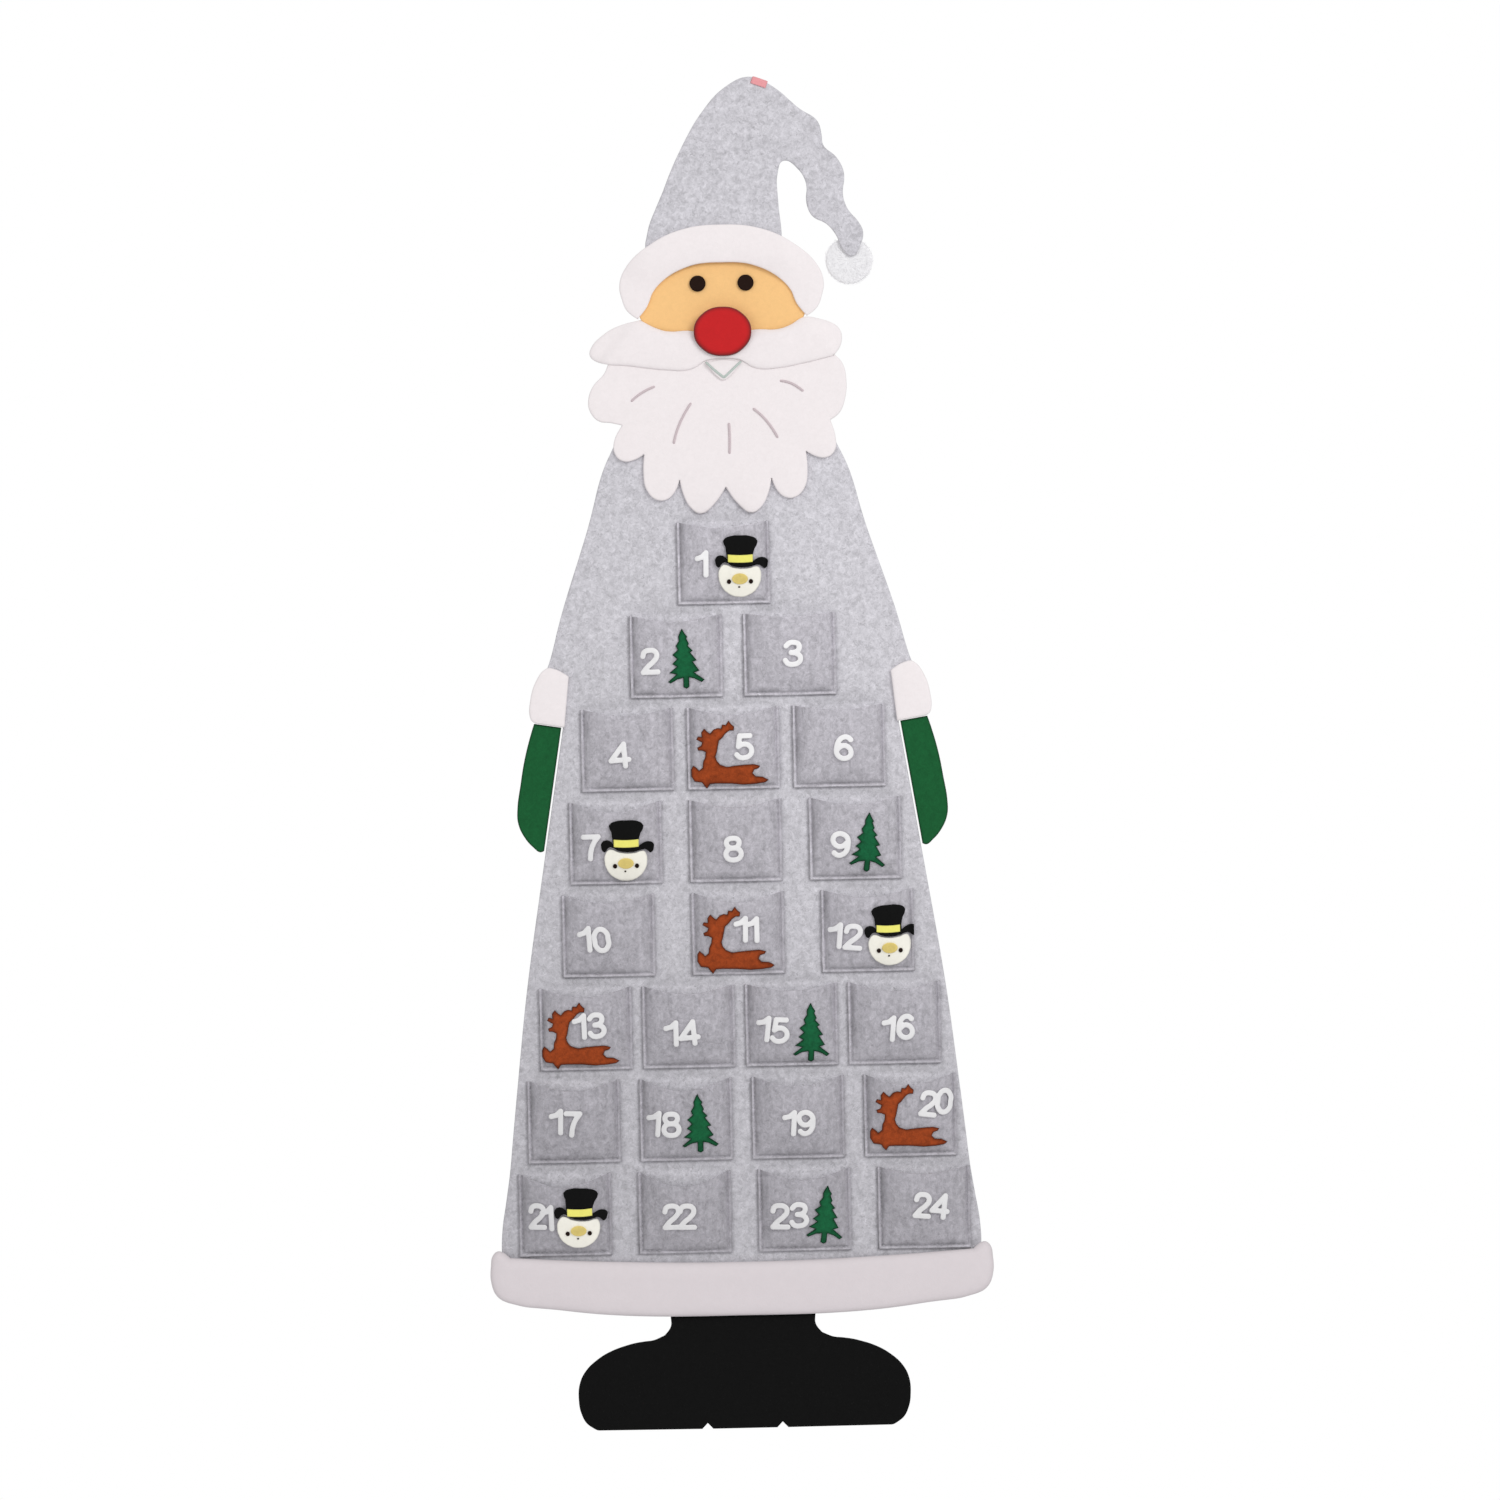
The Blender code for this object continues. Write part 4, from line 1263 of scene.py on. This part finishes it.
class CALENDAR_OT_beard(CalendarOperator):
    """Cut the beard, moustache and lip, and sew the strokes"""

    bl_idname = "calendar.beard"
    bl_label = "Beard"

    def make(self):
        flat = front_of("gown_panel") - SEWN_GAP
        felt_piece("beard_felt", "beard", "white_felt_cloth", "calendar",
                   spacing=0.003, rounding=0.0014,
                   relief=self.puff)
        felt_piece("moustache_felt", "moustache", "moustache_cloth",
                   "calendar", spacing=0.003,
                   rounding=0.0042, rim_share=0.0, relief=self.nose_room,
                   bend=resting(flat, "beard", 0.010))
        felt_piece("lip_felt", "lower_lip", "white_felt_cloth", "calendar",
                   spacing=0.0022, fine=0.001,
                   rows=(0.15, 0.45, 1.0, 2.0))
        self.strokes()

    @staticmethod
    def puff(x, z, gap):
        """Padding of the beard's lower part."""
        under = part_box("moustache")[0].z
        clear = np.clip((under - 0.004 - z) / 0.02, 0, 1)
        return 0.0009 * clear * (1 - np.exp(-gap / 0.008))

    @staticmethod
    def nose_room(x, z, gap):
        """Padding of the moustache, with room for the nose."""
        low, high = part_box("nose")
        across = (x - (low.x + high.x) / 2) / ((high.x - low.x) / 2 + 0.006)
        up = (z - (low.z + high.z) / 2) / ((high.z - low.z) / 2 + 0.006)
        clear = np.clip(np.hypot(across, up) - 1, 0, 1) * 2
        return 0.0008 * np.clip(clear, 0, 1) * (1 - np.exp(-gap / 0.006))

    def strokes(self):
        """Sewn strokes that mark the beard's locks and the lip."""
        low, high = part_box("nose")
        middle = (low.x + high.x) / 2
        level = (low.z + high.z) / 2 + 0.0242
        loops = [smoothed(loop, 0.0013) for loop in outlines("beard")]

        def curved(line):
            points = np.array(line) * HEAD_WIDTH + (middle, level)
            crest = 2 * points[1] - (points[0] + points[2]) / 2
            t = np.linspace(0, 1, 12)[:, None]
            return ((1 - t) ** 2 * points[0] + 2 * t * (1 - t) * crest
                    + t ** 2 * points[2])

        def on_beard(key, x, z):
            gap = edge_distance(np.stack([x, z], 1), loops)
            return front_of("beard") - self.puff(x, z, gap) - wave(x, z)

        def on_lip(key, x, z):
            return front_of("lower_lip") - wave(x, z)
        # Each stroke's start, crest and end, in shares of the head's width.
        locks = [
            [(-0.445, -0.475), (-0.398, -0.440), (-0.344, -0.414)],
            [(-0.247, -0.682), (-0.218, -0.594), (-0.166, -0.503)],
            [(0.022, -0.736), (0.024, -0.670), (0.022, -0.605)],
            [(0.148, -0.533), (0.206, -0.590), (0.254, -0.664)],
            [(0.284, -0.396), (0.332, -0.410), (0.380, -0.442)],
        ]
        # Strokes laid along the lower lip's edge, as painted shade for the shade line at that
        # edge.
        lip = [
            [(-0.076, -0.306), (-0.040, -0.340), (-0.003, -0.370)],
            [(0.008, -0.370), (0.043, -0.338), (0.078, -0.306)],
        ]
        for name, lines, surface, finish in (
                ("beard_strokes", locks, on_beard, "crease_thread"),
                ("lip_shade_strokes", lip, on_lip, "lip_shade_thread")):
            mesh = stitch_mesh(name, [(None, curved(line)) for line in lines],
                               surface, size=0.0066, space=-0.0048,
                               thread=0.0021)
            place_piece(name, mesh, finish, "calendar")


class CALENDAR_OT_pockets(CalendarOperator):
    """Sew on the pockets"""

    bl_idname = "calendar.pockets"
    bl_label = "Pockets"

    def make(self):
        paths = []
        inset = sizes().seam_inset
        for node in POCKETS:
            shape = PocketShape(node)
            name = node + "_felt"
            piece = place_piece(name, pocket_mesh(name, shape),
                                "pocket_felt_cloth", "calendar", (node,))
            paths.append((shape, seam_path(shape, inset)))

        def on_seam(shape, x, z):
            side = shape.width / 2 - inset
            x = np.clip(x, shape.middle - side, shape.middle + side)
            z = np.maximum(z, shape.foot + inset)
            return shape.front(x, z) - wave(x, z)
        mesh = stitch_mesh("pocket_seams", paths, on_seam)
        place_piece("pocket_seams", mesh, "seam_thread", "calendar")
        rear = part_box("gown_panel")[1].y

        def on_back(shape, x, z):
            return rear - wave(x, z)
        mesh = stitch_mesh("seams_behind", paths, on_back, outward=1)
        place_piece("seams_behind", mesh, "seam_thread", "calendar")


# Each digit's strokes, in shares of its height, and how they are drawn: as
# an open curve, as a closed one (loop), or as straight lines (sharp).
DIGITS = {
    "0": [[(0.28, 1.0), (0.07, 0.78), (0.05, 0.5), (0.07, 0.22), (0.28, 0.0),
           (0.49, 0.22), (0.51, 0.5), (0.49, 0.78), "loop"]],
    "1": [[(0.02, 0.74), (0.18, 0.80), (0.34, 1.0), (0.34, 0.0), "sharp"]],
    "2": [[(0.05, 0.74), (0.10, 0.92), (0.28, 1.0), (0.46, 0.92),
           (0.50, 0.72), (0.40, 0.50), (0.20, 0.26), (0.04, 0.0), "open"],
          [(0.04, 0.0), (0.52, 0.0), "sharp"]],
    "3": [[(0.06, 0.84), (0.16, 0.97), (0.30, 1.0), (0.45, 0.91),
           (0.46, 0.70), (0.36, 0.57), (0.22, 0.54), "open"],
          [(0.22, 0.54), (0.40, 0.49), (0.51, 0.31), (0.46, 0.10),
           (0.28, 0.0), (0.12, 0.04), (0.04, 0.18), "open"]],
    "4": [[(0.43, 0.0), (0.43, 1.0), (0.0, 0.28), (0.55, 0.28), "sharp"]],
    "5": [[(0.47, 1.0), (0.14, 1.0), (0.09, 0.52), "sharp"],
          [(0.09, 0.52), (0.24, 0.62), (0.41, 0.57), (0.51, 0.34),
           (0.44, 0.10), (0.27, 0.0), (0.12, 0.03), (0.03, 0.15), "open"]],
    "6": [[(0.47, 0.88), (0.37, 0.98), (0.24, 0.97), (0.10, 0.78),
           (0.05, 0.46), (0.08, 0.18), (0.22, 0.02), (0.36, 0.01),
           (0.49, 0.14), (0.51, 0.34), (0.40, 0.55), (0.24, 0.58),
           (0.09, 0.42), "open"]],
    "7": [[(0.05, 1.0), (0.51, 1.0), "sharp"],
          [(0.51, 1.0), (0.36, 0.70), (0.27, 0.36), (0.24, 0.0), "open"]],
    "8": [[(0.28, 1.0), (0.10, 0.90), (0.11, 0.66), (0.28, 0.55),
           (0.45, 0.66), (0.46, 0.90), "loop"],
          [(0.28, 0.55), (0.07, 0.42), (0.07, 0.13), (0.28, 0.0),
           (0.49, 0.13), (0.49, 0.42), "loop"]],
    "9": [[(0.08, 0.12), (0.19, 0.01), (0.32, 0.03), (0.46, 0.22),
           (0.51, 0.54), (0.48, 0.82), (0.34, 0.98), (0.20, 0.99),
           (0.07, 0.86), (0.05, 0.66), (0.16, 0.45), (0.32, 0.42),
           (0.47, 0.58), "open"]],
}
# How wide each number's digits are drawn, and for each digit where its
# middle lies from the pocket's middle, in shares of the pocket's width
# and height, and its tilt in degrees.
NUMBERS = [
    (1.23, (-0.232, -0.015, -1)),
    (1.42, (-0.277, -0.055, 1)),
    (1.47, (0.034, 0.004, -1)),
    (1.49, (-0.081, -0.062, 4)),
    (1.43, (0.116, 0.011, 1)),
    (1.45, (0.050, -0.023, -6)),
    (1.48, (-0.259, -0.049, 1)),
    (1.45, (-0.026, -0.100, 3)),
    (1.49, (-0.163, -0.071, -1)),
    (1.34, (-0.254, -0.033, 3), (-0.072, -0.041, 8)),
    (1.34, (0.030, 0.054, -1), (0.152, 0.045, 0)),
    (1.41, (-0.355, -0.046, -5), (-0.161, -0.069, -5)),
    (1.36, (-0.063, 0.041, 1), (0.122, 0.049, 4)),
    (1.45, (-0.189, -0.068, 0), (0.004, -0.064, 5)),
    (1.39, (-0.307, -0.030, -7), (-0.128, -0.058, -3)),
    (1.33, (-0.070, -0.059, -5), (0.115, -0.042, -3)),
    (1.36, (-0.186, 0.020, -2), (-0.004, -0.016, -2)),
    (1.43, (-0.348, -0.029, -5), (-0.156, -0.045, 0)),
    (1.37, (-0.097, -0.054, -4), (0.083, -0.058, 0)),
    (1.30, (0.194, 0.148, -8), (0.365, 0.167, -8)),
    (1.31, (-0.293, 0.002, 0), (-0.191, -0.018, 1)),
    (1.38, (-0.137, -0.032, 1), (0.025, -0.035, -1)),
    (1.43, (-0.264, -0.058, 0), (-0.061, -0.047, 0)),
    (1.27, (-0.023, 0.045, -5), (0.164, 0.028, -7)),
]


class CALENDAR_OT_numbers(CalendarOperator):
    """Cut the numbers and lay them on the pockets"""

    bl_idname = "calendar.numbers"
    bl_label = "Numbers"

    def make(self):
        height = sizes().number_height
        for index, node in enumerate(POCKETS):
            shape = PocketShape(node)
            stretch, *spots = NUMBERS[index]
            points, faces, first = [], [], 0
            for digit, (across, up, tilt) in zip(str(index + 1), spots):
                felt, quads = self.digit(digit, stretch)
                x = felt[:, 0] - (felt[:, 0].min() + felt[:, 0].max()) / 2
                z = felt[:, 2] - height / 2
                turn = radians(tilt)
                points.append(np.stack([
                    x * cos(turn) - z * sin(turn) + shape.middle
                    + across * shape.width, felt[:, 1],
                    x * sin(turn) + z * cos(turn) + shape.foot
                    + (0.5 + up) * shape.height], 1))
                faces += [tuple(corner + first for corner in quad)
                          for quad in quads]
                first += len(felt)
            x, y, z = np.concatenate(points).T
            y = y + shape.front(x, z) - NUMBER_LIFT - wave(x, z)
            name = f"number_{index + 1:02d}"
            mesh = new_mesh(name, np.stack([x, y, z], 1), faces)
            place_piece(name, mesh, "number_felt", "calendar")

    def digit(self, digit, stretch):
        """One flat digit with soft edges, its foot at the origin."""
        stroke = sizes().number_stroke
        inner = sizes().number_height - stroke
        made = []
        for *line, kind in DIGITS[digit]:
            spots = [(stroke / 2 + x * stretch * inner, 0,
                      stroke / 2 + z * inner) for x, z in line]
            curve = bpy.data.curves.new("digit_" + digit, "CURVE")
            curve.dimensions = "3D"
            curve.bevel_depth = stroke / 2
            curve.bevel_resolution = 3
            curve.resolution_u = 6
            curve.use_fill_caps = True
            runs = zip(spots, spots[1:]) if kind == "sharp" else [spots]
            for run in runs:
                spline = curve.splines.new("BEZIER")
                spline.bezier_points.add(len(run) - 1)
                for point, spot in zip(spline.bezier_points, run):
                    point.co = spot
                    handle = "VECTOR" if kind == "sharp" else "AUTO"
                    point.handle_left_type = point.handle_right_type = handle
                spline.use_cyclic_u = kind == "loop"
            bar = bpy.data.objects.new("digit_" + digit, curve)
            bpy.context.scene.collection.objects.link(bar)
            made.append(bar)
            ends = spots if kind == "sharp" else (spots[0], spots[-1])
            for spot in ends:
                bpy.ops.mesh.primitive_uv_sphere_add(
                    segments=16, ring_count=8, radius=stroke / 2 * 1.001,
                    location=spot)
                made.append(bpy.context.object)
        deselect()
        for bar in made:
            bar.select_set(True)
        bpy.context.view_layer.objects.active = made[0]
        bpy.ops.object.convert(target="MESH")
        bpy.ops.object.join()
        whole = bpy.context.object
        bpy.ops.object.transform_apply(location=True, rotation=True,
                                       scale=True)
        whole.data.remesh_voxel_size = NUMBER_MESH
        bpy.ops.object.voxel_remesh()
        points = np.array([tuple(vert.co) for vert in whole.data.vertices])
        faces = [tuple(face.vertices) for face in whole.data.polygons]
        deselect()
        bpy.data.objects.remove(whole, do_unlink=True)
        felt = sizes().number_felt
        deep = points[:, 1] / (stroke / 2)
        flat = np.sign(deep) * (
            1 - (1 - np.abs(deep).clip(0, 1)) ** EDGE_POWER)
        points[:, 1] = (flat - 1) * felt / 2
        return points, faces


MOTIF_FINISHES = {
    "tree": "tree_felt", "deer": "deer_felt", "snowman_hat": "top_hat_felt",
    "snowman_face": "snow_felt",
}
# The small pieces of a snowman's face: place, width and height in shares of
# the face's width, corners, thickness, rounding, finish and slot.
FEATURES = {
    "snow_nose": (0.0, -0.085, 0.37, 0.25, 20, 0.0009, 0.0012,
                  "button_felt", "white_felt"),
    "snow_mouth": (-0.02, -0.27, 0.05, 0.04, 12, 0.0007, 0.0005,
                   "eye_felt", "dark_eyes"),
    "snow_left_eye": (-0.255, -0.145, 0.10, 0.11, 14, 0.0008, 0.0005,
                      "eye_felt", "dark_eyes"),
    "snow_right_eye": (0.255, -0.145, 0.10, 0.11, 14, 0.0008, 0.0005,
                       "eye_felt", "dark_eyes"),
}


class CALENDAR_OT_motifs(CalendarOperator):
    """Cut the fir trees, the reindeer and the snowmen"""

    bl_idname = "calendar.motifs"
    bl_label = "Motifs"

    def make(self):
        for node in sorted(frame["nodes"]):
            kind, _, number = node.rpartition("_")
            if kind not in MOTIF_FINISHES:
                continue
            number = int(number)
            thickness = (SNOWMAN_FELT if kind.startswith("snow")
                         else MOTIF_FELT)
            loops = [smoothed(loop, 0.0007, corner=30)
                     for loop in outlines(node)]
            mesh, area, points = both_sides(
                node + "_felt", loops, 0.0, thickness, 0.0018,
                [0.0001, 0.0003, 0.0007, 0.0013], 0.0006,
                bend=on_pocket(number, MOTIF_LIFT))
            piece = place_piece(node + "_felt", mesh, MOTIF_FINISHES[kind],
                                "calendar", (node,))
            declare_sheet(points, area)
            if kind == "snowman_hat":
                self.band(number, points)
            if kind == "snowman_face":
                self.features(number, points)

    def patch(self, name, number, loop, thickness, rounding, finish, slot):
        """A small felt patch laid on a motif."""
        name = f"{name}_{number:02d}"
        mesh, *_ = both_sides(
            name, [loop], 0.0, thickness, 0.0012, [0.0001, 0.0003, 0.0007],
            rounding, bend=on_pocket(number, PATCH_LIFT))
        place_piece(name, mesh, finish, "calendar")

    def band(self, number, points):
        """The band of a top hat, bowed as the brim is."""
        low, high = points.min(0), points.max(0)
        width = high[0] - low[0]
        middle = (low[0] + high[0]) / 2 - 0.02 * width
        foot = low[1] + 0.119 * width
        top = foot + 0.142 * width
        across = np.linspace(-0.235, 0.235, 9) * width
        bow = 0.015 * width * (1 - (across / across[-1]) ** 2)
        lower = np.stack([middle + across, foot - bow], 1)
        upper = np.stack([middle + across[::-1], top - bow[::-1]], 1)
        self.patch("hat_band", number,
                   smoothed(np.concatenate([lower, upper]), 0.0008),
                   0.0007, 0.0005, "band_felt", "white_felt")

    def features(self, number, points):
        """Nose, mouth and eyes of a snowman."""
        low, high = points.min(0), points.max(0)
        middle, width = (low[0] + high[0]) / 2, high[0] - low[0]
        centre = low[1] + width / 2
        for name, (across, up, wide, tall, count, *rest) in FEATURES.items():
            turns = np.arange(count) * 2 * pi / count
            oval = np.stack([
                middle + across * width + wide * width / 2 * np.cos(turns),
                centre + up * width + tall * width / 2 * np.sin(turns)], 1)
            self.patch(name, number, oval, *rest)


class CALENDAR_OT_studio(CalendarOperator):
    """Set up the camera, the lamps and the floor"""

    bl_idname = "calendar.studio"
    bl_label = "Studio"

    aim = Vector((-0.0094, 0.0, -0.5167))

    def make(self):
        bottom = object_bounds()[0].z
        self.camera()
        self.daylight()
        self.lamps()
        self.floor(bottom - FLOOR_DROP)
        bpy.context.scene.view_settings.view_transform = "Standard"

    def camera(self):
        scene = bpy.context.scene
        studio = scene.calendar_studio
        data = bpy.data.cameras.new("camera")
        data.type = "PERSP"
        data.sensor_width = 36
        data.lens = 36 * studio.distance / studio.width
        camera = bpy.data.objects.new("camera", data)
        scene.collection.objects.link(camera)
        back = Vector((0, -1, 0))
        camera.location = self.aim + back * studio.distance
        turn = (-back).to_track_quat("-Z", "Y").to_matrix()
        roll = Matrix.Rotation(-studio.lean, 3, "Z")
        camera.rotation_euler = (turn @ roll).to_euler()
        scene.camera = camera
        data.clip_end = 50

    def daylight(self):
        """Soft light from all round, with pure white to look at."""
        scene = bpy.context.scene
        world = bpy.data.worlds.new("studio")
        world.use_nodes = True
        nodes, links = world.node_tree.nodes, world.node_tree.links
        nodes.clear()
        rays = nodes.new("ShaderNodeLightPath")
        seen = nodes.new("ShaderNodeBackground")
        around = nodes.new("ShaderNodeBackground")
        around.inputs["Strength"].default_value = (
            scene.calendar_studio.daylight)
        pick = nodes.new("ShaderNodeMixShader")
        out = nodes.new("ShaderNodeOutputWorld")
        for background in (seen, around):
            background.inputs["Color"].default_value = (1, 1, 1, 1)
        links.new(rays.outputs["Is Camera Ray"], pick.inputs[0])
        links.new(around.outputs[0], pick.inputs[1])
        links.new(seen.outputs[0], pick.inputs[2])
        links.new(pick.outputs[0], out.inputs[0])
        scene.world = world

    def lamps(self):
        scene = bpy.context.scene
        studio = scene.calendar_studio
        for name, place, size, power in (
                ("main_lamp", (1.5, -2.3, 0.75), 1.3, studio.key),
                ("fill_lamp", (-1.7, -2.3, -0.2), 2.0, studio.fill)):
            lamp = bpy.data.lights.new(name, "AREA")
            lamp.shape = "SQUARE"
            lamp.size = size
            lamp.energy = power
            holder = bpy.data.objects.new(name, lamp)
            holder.location = place
            holder.rotation_euler = (self.aim - Vector(place)).to_track_quat(
                "-Z", "Y").to_euler()
            scene.collection.objects.link(holder)

    def floor(self, level):
        bpy.ops.mesh.primitive_plane_add(
            size=1, location=(self.aim.x, -0.45, level))
        floor = bpy.context.object
        floor.name = "floor"
        floor.scale = (2.2, 1.5, 1)
        bpy.ops.object.transform_apply(location=True, rotation=True,
                                       scale=True)
        paint = Finish("pale_floor")
        grain = paint.noise(paint.object_place(), 30.0, 3.0)
        base = paint.dyed((0.86, 0.86, 0.87), 0.97 + grain * 0.03)
        floor.data.materials.append(paint.surface(
            Base_Color=base, Roughness=0.8))
        floor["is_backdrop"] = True


SETTINGS = {
    "calendar_sizes": CalendarSizes,
    "calendar_colours": CalendarColours,
    "calendar_studio": CalendarStudio,
}
OPERATORS = (
    CALENDAR_OT_studio, CALENDAR_OT_gown, CALENDAR_OT_hem,
    CALENDAR_OT_boots, CALENDAR_OT_sleeves, CALENDAR_OT_hat,
    CALENDAR_OT_loop, CALENDAR_OT_face, CALENDAR_OT_beard,
    CALENDAR_OT_pockets, CALENDAR_OT_numbers, CALENDAR_OT_motifs,
)


class CALENDAR_PT_pieces(bpy.types.Panel):
    """Lists the calendar's pieces"""

    bl_label = "Advent Calendar"
    bl_space_type = "VIEW_3D"
    bl_region_type = "UI"
    bl_category = "Calendar"

    def draw(self, context):
        for operator in OPERATORS:
            self.layout.operator(operator.bl_idname)
        for name in SETTINGS:
            group = getattr(context.scene, name)
            box = self.layout.box()
            for key in group.__annotations__:
                box.prop(group, key)


CLASSES = (*SETTINGS.values(), *OPERATORS, CALENDAR_PT_pieces)


def register():
    for kind in CLASSES:
        bpy.utils.register_class(kind)
    for name, kind in SETTINGS.items():
        setattr(bpy.types.Scene, name,
                bpy.props.PointerProperty(type=kind))


def unregister():
    for name in SETTINGS:
        delattr(bpy.types.Scene, name)
    for kind in reversed(CLASSES):
        bpy.utils.unregister_class(kind)


def main():
    """Build every piece."""
    register()
    for operator in OPERATORS:
        group, name = operator.bl_idname.split(".")
        getattr(getattr(bpy.ops, group), name)()


if __name__ == "__main__":
    main()
